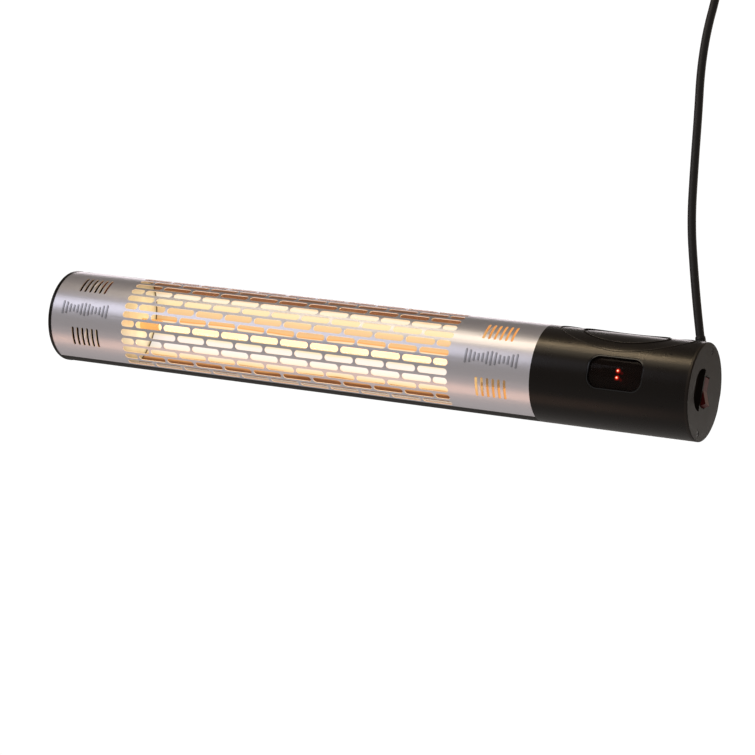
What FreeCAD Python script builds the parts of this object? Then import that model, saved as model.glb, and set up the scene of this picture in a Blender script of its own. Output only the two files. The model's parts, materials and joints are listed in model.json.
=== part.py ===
"""Tubular infrared heat lamp for a food counter, hung in front of a wall or under a shelf.

Frame: X runs along the tube towards the control end, -Y is the heated front and +Z is up.
The origin is the middle of the flat mounting face on the back, between the two M6 threads.
Most sections are drawn about the axis of the tube, which lies back_offset in front of it.
All lengths are in millimetres and all angles in degrees.
"""

import FreeCAD
import Part
import Sketcher
import math
import os

from FreeCAD import Placement, Rotation, Vector

SIZES = [
    ("half_length", 405.6, "tube centre to either end face"),
    ("tube_radius", 54.0, "outside of the tube"),
    ("back_offset", 52.0, "tube axis to the flat mounting face"),
    ("sheet_thickness", 0.8, "stainless front sheet"),
    ("sheet_half_angle", 74.5, "front sheet, each side of straight ahead"),
    ("seam_gap", 0.1, "angle between the front sheet and the rear shell"),
    ("shell_wall", 1.0, "coated steel rear shell"),
    ("left_end", -401.0, "left end of the steel tube"),
    ("steel_end", 223.5, "right end of the steel tube"),
    ("slot_pitch", 39.0, "slot spacing along the tube"),
    ("slot_length", 36.2, "full slot, end to end"),
    ("half_slot_length", 17.4, "short slot that closes an odd row"),
    ("slot_width", 7.7, "slot across its row"),
    ("slot_start", -301.5, "left end of the slots"),
    ("row_angle", 11.35, "angle between slot rows"),
    ("vent_pitch", 6.8, "vent spacing along the tube"),
    ("vent_length", 23.0, "vent around the tube"),
    ("vent_width", 3.1, "vent along the tube"),
    ("vent_angle", 36.0, "middle of a vent above or below straight ahead"),
    ("left_vent_start", -370.0, "first vent of the left groups"),
    ("right_vent_start", 160.2, "first vent of the right groups"),
    ("rail_inner_radius", 51.2, "inside of the two rails that carry the sheet's edges"),
    ("rail_from", 70.5, "front edge of a rail"),
    ("rail_to", 79.0, "back edge of a rail"),
    ("mouth_half", 49.4, "reflector mouth, half its height"),
    ("reflector_depth", 26.0, "tube axis back to the reflector's deepest line"),
    ("reflector_shoulder", 2.0, "where the reflector's curve starts"),
    ("reflector_lip", 9.0, "front edge of the reflector, ahead of the axis"),
    ("reflector_sheet", 0.8, "polished aluminium sheet"),
    ("plate_left", -306.0, "outside of the left end plate"),
    ("plate_right", 129.0, "outside of the right end plate"),
    ("plate_thickness", 1.2, "end plates and heat shield"),
    ("plate_radius", 50.9, "end plates and heat shield"),
    ("lamp_radius", 5.0, "quartz tube, outside"),
    ("lamp_wall", 1.0, "quartz tube, wall"),
    ("lamp_left", -288.0, "left end of the quartz tube"),
    ("lamp_right", 111.0, "right end of the quartz tube"),
    ("filament_radius", 1.6, "wound filament, outside of its turns"),
    ("base_radius", 7.0, "ceramic lamp base"),
    ("base_length", 30.0, "ceramic lamp base"),
    ("shield_at", 204.6, "heat shield between lamp and controls"),
    ("spigot_radius", 52.9, "plastic rings that plug into the steel tube"),
    ("spigot_wall", 2.4, "those rings"),
    ("spigot_length", 15.0, "housing ring inside the steel tube"),
    ("housing_wall", 2.5, "control housing"),
    ("cap_seam", 402.0, "housing meets its end cap"),
    ("left_cap_radius", 54.4, "left cap, slightly proud of the steel"),
    ("window_middle", 320.8, "window along the tube"),
    ("window_length", 64.5, "window opening along the tube"),
    ("window_height", 38.2, "window opening, seen from the front"),
    ("window_corner", 13.0, "window opening, corner radius"),
    ("bezel_wall", 1.4, "rim around the lens"),
    ("bezel_gap", 0.1, "rim to housing"),
    ("bezel_sink", 0.5, "rim below the housing's surface"),
    ("lens_sink", 3.4, "lens below the housing's surface"),
    ("lens_thickness", 2.0, "smoked lens"),
    ("board_front", 31.6, "front of the circuit board, ahead of the axis"),
    ("board_thickness", 1.6, "circuit board"),
    ("board_left", 256.0, "left edge of the circuit board"),
    ("board_length", 126.0, "circuit board along the tube"),
    ("board_half", 31.0, "circuit board, half its height"),
    ("post_inset", 5.0, "board screws, in from the board's edges"),
    ("post_radius", 3.2, "posts that carry the board"),
    ("dish_middle", 314.0, "oval dish on top of the housing, along the tube"),
    ("dish_forward", 20.0, "oval dish, ahead of the axis"),
    ("dish_half_length", 77.0, "oval dish, outer step"),
    ("dish_half_width", 27.7, "oval dish, outer step"),
    ("dish_depth", 0.45, "oval dish, outer step"),
    ("pool_half_length", 50.0, "oval dish, inner step"),
    ("pool_half_width", 19.7, "oval dish, inner step"),
    ("pool_depth", 1.0, "oval dish, inner step"),
    ("cap_screw_reach", 45.5, "cap screws from the tube axis"),
    ("scoop_radius", 23.0, "finger scoop in the right cap"),
    ("scoop_forward", 13.0, "middle of the scoop, ahead of the axis"),
    ("scoop_depth", 6.5, "scoop at the switch"),
    ("scoop_end", 9.2, "scoop stops this far ahead of the axis"),
    ("cap_block_depth", 9.0, "thick part of the cap, behind its plate"),
    ("pivot_at", 400.0, "rocker pivot along the tube"),
    ("rocker_radius", 16.97, "rocker ends, from the pivot"),
    ("rocker_rise", 29.3, "angle of a rocker end above its own middle plane"),
    ("rocker_middle", 5.7, "rocker face at its middle, from the pivot"),
    ("rocker_tilt", 10.0, "rocker at rest, switched on, from its middle plane"),
    ("rocker_width", 13.2, "rocker"),
    ("pin_radius", 1.5, "rocker pivot pins"),
    ("pin_clearance", 0.05, "pin in its socket"),
    ("pin_span", 15.8, "across both pins"),
    ("cavity_half_width", 7.0, "switch cavity"),
    ("cavity_half_height", 17.4, "switch cavity"),
    ("switch_wall", 1.5, "switch body"),
    ("switch_depth", 26.0, "switch body behind the cap's face"),
    ("cavity_depth", 16.0, "switch cavity behind the cap's face"),
    ("flange_rim", 1.2, "switch flange beyond its body"),
    ("flange_thickness", 1.0, "switch flange"),
    ("cord_radius", 4.8, "supply cord"),
    ("cord_back", 38.0, "cord behind the tube axis"),
    ("gland_x", 382.3, "cord outlet on its boss"),
    ("gland_z", 46.2, "cord outlet on its boss, above the axis"),
    ("gland_lean", 17.0, "outlet leans from upright towards the lamp"),
    ("boss_radius", 9.0, "boss around the cord outlet"),
    ("boss_bore", 6.4, "hole in the boss"),
    ("relief_length", 22.0, "tapered strain relief above the boss"),
    ("relief_base", 7.6, "strain relief radius at the boss"),
    ("relief_tip", 5.5, "strain relief radius at its tip"),
    ("bore_gap", 0.05, "cord to what it passes through"),
    ("grip_bottom", 468.0, "ceiling fitting, bottom of the cord grip"),
    ("cup_bottom", 480.0, "ceiling fitting, bottom of the cup"),
    ("cup_height", 24.0, "ceiling fitting cup"),
    ("cup_radius", 30.0, "ceiling fitting cup, at the ceiling"),
    ("cup_wall", 2.0, "ceiling fitting cup"),
    ("mount_spacing", 320.0, "between the two mounting threads"),
    ("mount_bore", 3.0, "M6 mounting thread, radius"),
    ("nut_shank", 4.2, "clinch nut through the plate and shell"),
    ("nut_head", 6.5, "clinch nut flange"),
    ("nut_height", 4.0, "clinch nut behind the plate"),
    ("mount_plate_half", 13.0, "backing plate, half its height"),
    ("mount_plate_length", 380.0, "backing plate"),
    ("mount_plate_thickness", 2.0, "backing plate"),
]

# The cord's route above its outlet, as X and height over the tube axis. It hangs in one plane.
CORD_ROUTE = [
    (382.3, 46.2),
    (370.2, 85.8),
    (356.2, 136.5),
    (342.0, 193.5),
    (334.0, 258.0),
    (327.6, 318.0),
    (321.2, 369.0),
    (320.0, 415.0),
    (323.6, 455.0),
    (324.4, 489.0),
]

doc = FreeCAD.newDocument("heat_lamp_warmer")
dims = doc.addObject("Spreadsheet::Sheet", "dims")
for row, (alias, value, note) in enumerate(SIZES, start=1):
    dims.set(f"A{row}", alias)
    dims.set(f"B{row}", str(value))
    dims.set(f"C{row}", note)
    dims.setAlias(f"B{row}", alias)
doc.recompute()

pieces = []


def number(expression):
    """The value of an expression over the sheet's cells."""
    found = dims.evalExpression(expression)
    return float(getattr(found, "Value", found))


def piece(item, label):
    """Keep a finished sub-part under its own label."""
    item.Label = label
    pieces.append(item)
    return item


# ---------------------------------------------------------------- bodies and sketches


def make_body(label):
    """An empty body whose own X axis is the axis of the tube."""
    body = doc.addObject("PartDesign::Body", label)
    body.setExpression("Placement.Base.y", "-dims.back_offset")
    return piece(body, label)


def origin_feature(body, role):
    return next(item for item in body.Origin.OriginFeatures if item.Role == role)


def make_sketch(body, name, role, offset="0", turn=None):
    """A sketch on an origin plane, moved along its normal and turned about the tube axis."""
    sketch = body.newObject("Sketcher::SketchObject", name)
    sketch.AttachmentSupport = (origin_feature(body, role), [""])
    sketch.MapMode = "FlatFace"
    if turn:
        sketch.AttachmentOffset = Placement(Vector(), Rotation(Vector(1, 0, 0), number(turn)))
        sketch.setExpression("AttachmentOffset.Rotation.Angle", turn)
    sketch.setExpression("AttachmentOffset.Base.z", offset)
    return sketch


def bind(sketch, kind, *where, size):
    """Add a dimension to a sketch and tie it to the sheet."""
    index = sketch.addConstraint(Sketcher.Constraint(kind, *where, number(size)))
    sketch.setExpression(f"Constraints[{index}]", size)


def place_point(sketch, edge, end, x, y):
    bind(sketch, "DistanceX", -1, 1, edge, end, size=x)
    bind(sketch, "DistanceY", -1, 1, edge, end, size=y)


def circle(sketch, x, y, radius):
    middle = Vector(number(x), number(y), 0)
    edge = sketch.addGeometry(Part.Circle(middle, Vector(0, 0, 1), number(radius)))
    place_point(sketch, edge, 3, x, y)
    bind(sketch, "Radius", edge, size=radius)


def arc_between(start, end, radius, turns_left):
    """The short arc from start to end, and which of its ends is its start."""
    chord = end - start
    middle = (start + end) * 0.5
    height = math.sqrt(max(radius * radius - chord.Length ** 2 / 4, 0))
    side = Vector(-chord.y, chord.x, 0).normalize()
    centre = middle + side * (height if turns_left else -height)
    first, last = (start, end) if turns_left else (end, start)
    angle_from = math.atan2(first.y - centre.y, first.x - centre.x)
    angle_to = math.atan2(last.y - centre.y, last.x - centre.x)
    if angle_to < angle_from:
        angle_to += 2 * math.pi
    ring = Part.Circle(centre, Vector(0, 0, 1), radius)
    return Part.ArcOfCircle(ring, angle_from, angle_to), (1, 2) if turns_left else (2, 1)


def outline(sketch, corners, arcs=None):
    """A closed outline through corners. arcs gives some edges a radius, positive to turn left."""
    arcs = arcs or {}
    points = [Vector(number(x), number(y), 0) for x, y in corners]
    edges = []
    for index, start in enumerate(points):
        end = points[(index + 1) % len(points)]
        if index in arcs:
            radius, turns_left = arcs[index]
            shape, ends = arc_between(start, end, number(radius), turns_left)
        else:
            shape, ends = Part.LineSegment(start, end), (1, 2)
        edges.append((sketch.addGeometry(shape), ends))
    for index, (edge, ends) in enumerate(edges):
        before, before_ends = edges[index - 1]
        sketch.addConstraint(Sketcher.Constraint("Coincident", before, before_ends[1], edge, ends[0]))
        place_point(sketch, edge, ends[0], *corners[index])
    for index, (radius, _) in arcs.items():
        bind(sketch, "Radius", edges[index][0], size=radius)


def rectangle(sketch, left, low, right, high):
    outline(sketch, [(left, low), (right, low), (right, high), (left, high)])


def rounded_rectangle(sketch, x, y, length, height, radius):
    """A rectangle centred on x, y with round corners."""
    reach_x, reach_y = f"({length})/2", f"({height})/2"
    corners = []
    for sign_x, sign_y, along_first in ((1, -1, True), (1, 1, False), (-1, 1, True), (-1, -1, False)):
        edge_x = f"({x}) + ({sign_x})*{reach_x}"
        edge_y = f"({y}) + ({sign_y})*{reach_y}"
        inner_x = f"{edge_x} - ({sign_x})*({radius})"
        inner_y = f"{edge_y} - ({sign_y})*({radius})"
        pair = [(inner_x, edge_y), (edge_x, inner_y)]
        corners += pair if along_first else pair[::-1]
    outline(sketch, corners, {index: (radius, True) for index in (0, 2, 4, 6)})


def obround(sketch, x, y, length, width, upright=False):
    """A slot with round ends, centred on x, y."""
    half, reach = f"({width})/2", f"(({length})-({width}))/2"
    along = Vector(0, 1, 0) if upright else Vector(1, 0, 0)
    across = Vector(-along.y, along.x, 0) * number(half)
    middle = Vector(number(x), number(y), 0)
    heading = math.atan2(along.y, along.x)
    ends = [middle + along * (sign * number(reach)) for sign in (1, -1)]
    edges = []
    for index, end in enumerate(ends):
        first = heading - math.pi / 2 + index * math.pi
        ring = Part.Circle(end, Vector(0, 0, 1), number(half))
        edges.append(sketch.addGeometry(Part.ArcOfCircle(ring, first, first + math.pi)))
        side = across * (1 - 2 * index)
        edges.append(sketch.addGeometry(Part.LineSegment(end + side, ends[1 - index] + side)))
    for index, edge in enumerate(edges):
        sketch.addConstraint(Sketcher.Constraint("Tangent", edges[index - 1], 2, edge, 1))
    sketch.addConstraint(Sketcher.Constraint("Equal", edges[0], edges[2]))
    sketch.addConstraint(Sketcher.Constraint("Vertical" if upright else "Horizontal", edges[1]))
    bind(sketch, "Radius", edges[0], size=half)
    far_x = x if upright else f"({x}) - {reach}"
    far_y = f"({y}) - {reach}" if upright else y
    place_point(sketch, edges[2], 3, far_x, far_y)
    bind(sketch, "DistanceY" if upright else "DistanceX", edges[2], 3, edges[0], 3, size=f"2*{reach}")


def cut_circle(sketch, radius, flat):
    """A circle about the tube axis with its back cut to a flat."""
    edge_z = f"sqrt(({radius})^2 - ({flat})^2)"
    corners = [(flat, edge_z), (flat, f"-{edge_z}")]
    start = Vector(number(flat), number(edge_z), 0)
    angle = math.atan2(start.y, start.x)
    ring = Part.Circle(Vector(), Vector(0, 0, 1), number(radius))
    arc = sketch.addGeometry(Part.ArcOfCircle(ring, angle, 2 * math.pi - angle))
    line = sketch.addGeometry(Part.LineSegment(Vector(start.x, -start.y, 0), start))
    sketch.addConstraint(Sketcher.Constraint("Coincident", arc, 3, -1, 1))
    sketch.addConstraint(Sketcher.Constraint("Coincident", arc, 1, line, 2))
    sketch.addConstraint(Sketcher.Constraint("Coincident", arc, 2, line, 1))
    sketch.addConstraint(Sketcher.Constraint("Vertical", line))
    bind(sketch, "Radius", arc, size=radius)
    bind(sketch, "DistanceX", -1, 1, line, 1, size=corners[0][0])


def pad(body, sketch, length):
    feature = body.newObject("PartDesign::Pad", f"{sketch.Name}_pad")
    feature.Profile = sketch
    feature.setExpression("Length", length)
    return feature


def pocket(body, sketch, depth, forward=True):
    """Cut a sketch's outline for a depth, along its normal or against it."""
    feature = body.newObject("PartDesign::Pocket", f"{sketch.Name}_cut")
    feature.Profile = sketch
    feature.Reversed = forward
    feature.Refine = False
    feature.setExpression("Length", depth)
    return feature


def repeat(body, name, original, lines=(), turn=None):
    """Repeat a feature along the tube, then around it. Each line is a length and a count."""
    pattern = body.newObject("PartDesign::MultiTransform", name)
    pattern.Originals = [original]
    pattern.Refine = False
    steps = []
    for index, (length, count) in enumerate(lines):
        line = doc.addObject("PartDesign::LinearPattern", f"{name}_line{index}")
        line.Direction = (origin_feature(body, "X_Axis"), [""])
        line.setExpression("Length", length)
        line.Occurrences = count
        steps.append(line)
    if turn:
        angle, count = turn
        ring = doc.addObject("PartDesign::PolarPattern", f"{name}_ring")
        ring.Axis = (origin_feature(body, "X_Axis"), [""])
        ring.setExpression("Angle", angle)
        ring.Occurrences = count
        steps.append(ring)
    pattern.Transformations = steps
    body.Tip = pattern
    return pattern


def spun(label, corners, arcs=None, role="XY_Plane"):
    """A turned piece: its half section spun about the tube axis."""
    body = make_body(label)
    sketch = make_sketch(body, f"{label}_section", role)
    outline(sketch, corners, arcs)
    turned = body.newObject("PartDesign::Revolution", f"{label}_turned")
    turned.Profile = sketch
    turned.ReferenceAxis = (origin_feature(body, "X_Axis"), [""])
    turned.Angle = 360
    return body


# ---------------------------------------------------------------- primitives and booleans


def move_to(item, x, y, z):
    """Place a primitive at a point given about the tube axis."""
    item.setExpression("Placement.Base.x", x)
    item.setExpression("Placement.Base.y", f"({y}) - dims.back_offset")
    item.setExpression("Placement.Base.z", z)
    return item


DIRECTIONS = {
    "x": Rotation(Vector(0, 1, 0), 90),
    "y": Rotation(Vector(1, 0, 0), -90),
    "z": Rotation(),
}


def rod(name, radius, length, x, y="0", z="0", along="x"):
    """A round bar that starts at x, y, z."""
    bar = doc.addObject("Part::Cylinder", name)
    bar.Placement = Placement(Vector(), DIRECTIONS[along])
    bar.setExpression("Radius", radius)
    bar.setExpression("Height", length)
    return move_to(bar, x, y, z)


def block(name, x, y, z, length, width, height):
    """A box from its lowest corner."""
    box = doc.addObject("Part::Box", name)
    box.setExpression("Length", length)
    box.setExpression("Width", width)
    box.setExpression("Height", height)
    return move_to(box, x, y, z)


def leaning(name, kind, start, sizes):
    """A cylinder or cone on the cord outlet's axis, from start along it."""
    item = doc.addObject(kind, name)
    item.Placement = Placement(Vector(), Rotation(Vector(0, 1, 0), -number("dims.gland_lean")))
    for field, size in sizes.items():
        item.setExpression(field, size)
    x = f"dims.gland_x - ({start})*sin(dims.gland_lean)"
    z = f"dims.gland_z + ({start})*cos(dims.gland_lean)"
    return move_to(item, x, "dims.cord_back", z)


def group(name, items):
    bundle = doc.addObject("Part::Compound", name)
    bundle.Links = items
    return bundle


def cut(name, base, tools):
    result = doc.addObject("Part::Cut", name)
    result.Base = base
    result.Tool = tools[0] if len(tools) == 1 else fuse(f"{name}_tools", tools)
    result.Refine = False
    return result


def fuse(name, items):
    result = doc.addObject("Part::MultiFuse", name)
    result.Shapes = items
    result.Refine = False
    return result


def common(name, base, tool):
    result = doc.addObject("Part::Common", name)
    result.Base = base
    result.Tool = tool
    result.Refine = False
    return result


def pipe(name, inner, outer, length, x, y="0", z="0", along="x"):
    """A round tube."""
    return cut(
        name,
        rod(f"{name}_outside", outer, length, x, y, z, along),
        [rod(f"{name}_inside", inner, length, x, y, z, along)],
    )


# ---------------------------------------------------------------- cords and wires


def smooth_path(points):
    """Straight runs joined by tangent arcs, each as large as its two runs allow."""
    edges = []
    radii = []
    last = points[0]
    for before, corner, after in zip(points, points[1:], points[2:]):
        towards = (before - corner).normalize()
        away = (after - corner).normalize()
        turn = math.pi - towards.getAngle(away)
        setback = 0.45 * min((before - corner).Length, (after - corner).Length)
        radius = setback / math.tan(turn / 2)
        enter = corner + towards * setback
        leave = corner + away * setback
        to_centre = (towards + away).normalize() * (radius / math.cos(turn / 2))
        top = corner + to_centre - (towards + away).normalize() * radius
        edges.append(Part.LineSegment(last, enter).toShape())
        edges.append(Part.Arc(enter, top, leave).toShape())
        radii.append(radius)
        last = leave
    edges.append(Part.LineSegment(last, points[-1]).toShape())
    return Part.Wire(edges), radii


def cable(label, points, radius):
    """A round cable along a route given about the tube axis."""
    path, radii = smooth_path(points)
    ring = Part.Circle(points[0], (points[1] - points[0]).normalize(), radius)
    section = Part.Wire([ring.toShape()])
    solid = path.makePipeShell([section], True, True)
    item = doc.addObject("Part::Feature", label)
    item.Shape = solid
    item.Placement = Placement(Vector(0, -number("dims.back_offset"), 0), Rotation())
    expected = math.pi * radius ** 2 * path.Length
    print(f"{label}: length {path.Length:.1f}, radii {min(radii):.0f} to {max(radii):.0f},",
          f"volume {solid.Volume:.0f} against {expected:.0f}")
    return piece(item, label)


# ---------------------------------------------------------------- steel tube


def on_circle(radius, angle):
    """A point of the tube's section, by its angle from straight ahead towards the top."""
    return f"-({radius})*cos({angle})", f"({radius})*sin({angle})"


def wedge(sketch, half_angle, reach="3*dims.tube_radius"):
    """A triangle from the tube axis that opens to the front."""
    tip_y, tip_z = on_circle(reach, half_angle)
    outline(sketch, [("0", "0"), (tip_y, tip_z), (tip_y, f"-({tip_z})")])


def build_front_grille():
    """Perforated stainless sheet, rolled round the front of the tube."""
    body = make_body("front_grille")
    inner = "dims.tube_radius - dims.sheet_thickness"
    section = make_sketch(body, "grille_section", "YZ_Plane", "dims.left_end")
    low, high = "-dims.sheet_half_angle", "dims.sheet_half_angle"
    circle(section, "0", "0", "dims.tube_radius")
    circle(section, "0", "0", inner)
    pad(body, section, "dims.steel_end - dims.left_end")
    reach = "2*dims.tube_radius"
    front = on_circle(reach, high)
    back = make_sketch(body, "grille_back", "YZ_Plane", "dims.left_end")
    outline(back, [("0", "0"), front, (reach, front[1]), (reach, f"-({front[1]})"), on_circle(reach, low)])
    pocket(body, back, "dims.steel_end - dims.left_end")

    through = "dims.tube_radius + 1"
    full_first = "dims.slot_start + dims.slot_length/2"
    even = make_sketch(body, "even_slot", "XZ_Plane", "0", "-6*dims.row_angle")
    obround(even, full_first, "0", "dims.slot_length", "dims.slot_width")
    repeat(body, "even_slots", pocket(body, even, through),
           [("10*dims.slot_pitch", 11)], ("12*dims.row_angle", 7))

    odd = make_sketch(body, "odd_slot", "XZ_Plane", "0", "-5*dims.row_angle")
    obround(odd, f"{full_first} + dims.slot_pitch/2", "0", "dims.slot_length", "dims.slot_width")
    repeat(body, "odd_slots", pocket(body, odd, through),
           [("9*dims.slot_pitch", 10)], ("10*dims.row_angle", 6))

    short = make_sketch(body, "short_slot", "XZ_Plane", "0", "-5*dims.row_angle")
    obround(short, "dims.slot_start + dims.half_slot_length/2", "0",
            "dims.half_slot_length", "dims.slot_width")
    span = "10*dims.slot_pitch + dims.slot_length - dims.half_slot_length"
    repeat(body, "short_slots", pocket(body, short, through), [(span, 2)], ("10*dims.row_angle", 6))

    vent = make_sketch(body, "vent", "XZ_Plane", "0", "-dims.vent_angle")
    obround(vent, "dims.left_vent_start", "0", "dims.vent_length", "dims.vent_width", upright=True)
    repeat(body, "vents", pocket(body, vent, through),
           [("5*dims.vent_pitch", 6), ("dims.right_vent_start - dims.left_vent_start", 2)],
           ("2*dims.vent_angle", 2))


def build_rear_shell():
    """Black coated steel back of the tube, with a flat for mounting."""
    body = make_body("rear_shell")
    length = "dims.steel_end - dims.left_end"
    section = make_sketch(body, "shell_section", "YZ_Plane", "dims.left_end")
    cut_circle(section, "dims.tube_radius", "dims.back_offset")
    cut_circle(section, "dims.tube_radius - dims.shell_wall", "dims.back_offset - dims.shell_wall")
    pad(body, section, length)
    front = make_sketch(body, "shell_front", "YZ_Plane", "dims.left_end")
    wedge(front, "dims.sheet_half_angle + dims.seam_gap", "6*dims.tube_radius")
    pocket(body, front, length)
    holes = make_sketch(body, "shell_nut_holes", "XZ_Plane")
    for side in (-1, 1):
        circle(holes, f"({side})*dims.mount_spacing/2", "0", "dims.nut_shank + dims.bore_gap")
    pocket(body, holes, "dims.back_offset + 1", forward=False)
    screws = make_sketch(body, "shell_screw_hole", "XZ_Plane", "0", "60")
    circle(screws, "dims.steel_end - dims.spigot_length/2", "0", "2.15")
    first = pocket(body, screws, "dims.tube_radius + 1", forward=False)
    repeat(body, "shell_screw_holes", first, [], ("240", 2))


def build_rails():
    """Rolled strips inside the seams that carry the sheet's edges."""
    for label, side in (("upper_rail", 1), ("lower_rail", -1)):
        body = make_body(label)
        section = make_sketch(body, f"{label}_section", "YZ_Plane", "dims.left_end + 10")
        outer = "dims.tube_radius - dims.shell_wall"
        corners = [
            on_circle(outer, f"({side})*dims.rail_from"),
            on_circle(outer, f"({side})*dims.rail_to"),
            on_circle("dims.rail_inner_radius", f"({side})*dims.rail_to"),
            on_circle("dims.rail_inner_radius", f"({side})*dims.rail_from"),
        ]
        arcs = {0: (outer, side < 0), 2: ("dims.rail_inner_radius", side > 0)}
        outline(section, corners, arcs)
        pad(body, section, "dims.shield_at + dims.plate_thickness - dims.left_end - 10")


def build_mount():
    """Backing plate and the two M6 clinch nuts that hold the whole heater."""
    inside = "dims.back_offset - dims.shell_wall - dims.mount_plate_thickness"
    bar = block("mount_bar", "-dims.mount_plate_length/2", inside, "-dims.mount_plate_half",
                "dims.mount_plate_length", "dims.mount_plate_thickness", "2*dims.mount_plate_half")
    holes = []
    nuts = []
    for name, side in (("left", -1), ("right", 1)):
        x = f"({side})*dims.mount_spacing/2"
        holes.append(rod(f"{name}_plate_hole", "dims.nut_shank + dims.bore_gap",
                         "dims.mount_plate_thickness", x, inside, "0", "y"))
        shank = rod(f"{name}_nut_shank", "dims.nut_shank",
                    "dims.mount_plate_thickness + dims.shell_wall", x, inside, "0", "y")
        head = rod(f"{name}_nut_head", "dims.nut_head", "dims.nut_height",
                   x, f"{inside} - dims.nut_height", "0", "y")
        bore = rod(f"{name}_nut_bore", "dims.mount_bore", "20", x, f"{inside} - 10", "0", "y")
        nuts.append(cut(f"{name}_nut", fuse(f"{name}_nut_blank", [shank, head]), [bore]))
    piece(cut("mount_plate", bar, holes), "mount_plate")
    piece(group("mount_nuts", nuts), "mount_nuts")


def trough(sketch, shoulder, mouth, depth, lip, thickness):
    """A thin curved trough, open to the front, with straight lips."""
    def arc_radius(half, sag):
        return f"((({half})^2 + ({sag})^2) / (2*({sag})))"

    outer_mouth = f"({mouth}) + ({thickness})"
    sag = f"({depth}) - ({shoulder})"
    corners = [
        (f"-({lip})", mouth),
        (shoulder, mouth),
        (shoulder, f"-({mouth})"),
        (f"-({lip})", f"-({mouth})"),
        (f"-({lip})", f"-({outer_mouth})"),
        (shoulder, f"-({outer_mouth})"),
        (shoulder, outer_mouth),
        (f"-({lip})", outer_mouth),
    ]
    arcs = {
        1: (arc_radius(mouth, sag), False),
        5: (arc_radius(outer_mouth, f"{sag} + ({thickness})"), True),
    }
    outline(sketch, corners, arcs)


def build_reflector():
    """Polished trough behind the lamp, and a plain baffle that keeps the back cool."""
    body = make_body("reflector")
    start = "dims.plate_left + dims.plate_thickness"
    length = "dims.plate_right - dims.plate_left - 2*dims.plate_thickness"
    section = make_sketch(body, "reflector_section", "YZ_Plane", start)
    trough(section, "dims.reflector_shoulder", "dims.mouth_half", "dims.reflector_depth",
           "dims.reflector_lip", "dims.reflector_sheet")
    pad(body, section, length)
    body = make_body("rear_baffle")
    section = make_sketch(body, "baffle_section", "YZ_Plane", start)
    trough(section, "14", "46", "34", "-9", "0.5")
    pad(body, section, length)


def end_plate(label, x, holes):
    """A thin plate across the tube, with its back cut flat."""
    body = make_body(label)
    section = make_sketch(body, f"{label}_section", "YZ_Plane", x)
    cut_circle(section, "dims.plate_radius", "dims.plate_radius - 4")
    for y, z, radius in holes:
        circle(section, y, z, radius)
    pad(body, section, "dims.plate_thickness")
    return body


LEAD_BACK = "40.5"
LEAD_LOW = "-15"


def build_plates():
    """Plates that close the reflector, and the shield between the lamp and the controls."""
    lamp_hole = ("0", "0", "dims.base_radius + 0.4")
    lead_hole = (LEAD_BACK, LEAD_LOW, "3")
    end_plate("end_plate_left", "dims.plate_left", [lamp_hole, lead_hole])
    end_plate("end_plate_right", "dims.plate_right - dims.plate_thickness", [lamp_hole, lead_hole])
    second_lead = ("0", "0", "3")
    end_plate("heat_shield", "dims.shield_at", [lead_hole, second_lead])


# ---------------------------------------------------------------- lamp


def build_lamp():
    """Quartz tube with its filament, a ceramic base at each end and the sockets that hold them."""
    length = "dims.lamp_right - dims.lamp_left"
    tube = pipe("lamp_tube", "dims.lamp_radius - dims.lamp_wall", "dims.lamp_radius",
                length, "dims.lamp_left")
    piece(tube, "lamp_tube")
    piece(rod("filament", "dims.filament_radius", f"{length} - 6", "dims.lamp_left + 3"), "filament")
    for side, mouth, sign in (("left", "dims.lamp_left", -1), ("right", "dims.lamp_right", 1)):
        seat = f"({mouth}) - ({sign})*8"
        tip = f"({mouth}) + ({sign})*(dims.base_length - 8)"
        closed = f"({mouth}) + ({sign})*1"
        neck = "dims.lamp_radius + 0.05"
        spun(f"lamp_base_{side}", [
            (seat, neck),
            (seat, "dims.base_radius - 0.8"),
            (f"({seat}) + ({sign})*0.8", "dims.base_radius"),
            (f"({tip}) - ({sign})*0.8", "dims.base_radius"),
            (tip, "dims.base_radius - 0.8"),
            (tip, "0"),
            (closed, "0"),
            (closed, neck),
        ])
        plate = "dims.plate_left - 14" if sign < 0 else "dims.plate_right"
        holder = make_body(f"lamp_holder_{side}")
        section = make_sketch(holder, f"holder_{side}_section", "YZ_Plane", plate)
        rounded_rectangle(section, "2", "0", "24", "26", "3")
        circle(section, "0", "0", "dims.base_radius + 0.1")
        pad(holder, section, "14")


def build_leads():
    """Heat-proof leads from both lamp bases to the control board."""
    left_tip = number("dims.lamp_left - dims.base_length + 8")
    right_tip = number("dims.lamp_right + dims.base_length - 8")
    back, low = number(LEAD_BACK), number(LEAD_LOW)
    cable("lamp_lead_left", [
        Vector(left_tip, 0, 0),
        Vector(left_tip - 14, 0, 0),
        Vector(left_tip - 24, 14, -6),
        Vector(left_tip - 20, 34, low),
        Vector(left_tip + 4, back, low),
        Vector(left_tip + 60, back, low),
        Vector(number("dims.steel_end") + 14, back, low - 0.5),
        Vector(number("dims.board_left") - 4, 20, low),
        Vector(number("dims.board_left") - 2, -12, low + 2),
        Vector(number("dims.board_left") + 10, -24, low + 4),
    ], 1.4)
    cable("lamp_lead_right", [
        Vector(right_tip + 0.05, 0, 0),
        Vector(right_tip + 40, 0, 0.3),
        Vector(number("dims.shield_at") + 6, 0, 0),
        Vector(number("dims.board_left") - 14, -8, 8),
        Vector(number("dims.board_left") + 10, -24, 12),
    ], 1.4)


# ---------------------------------------------------------------- caps and housing


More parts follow.
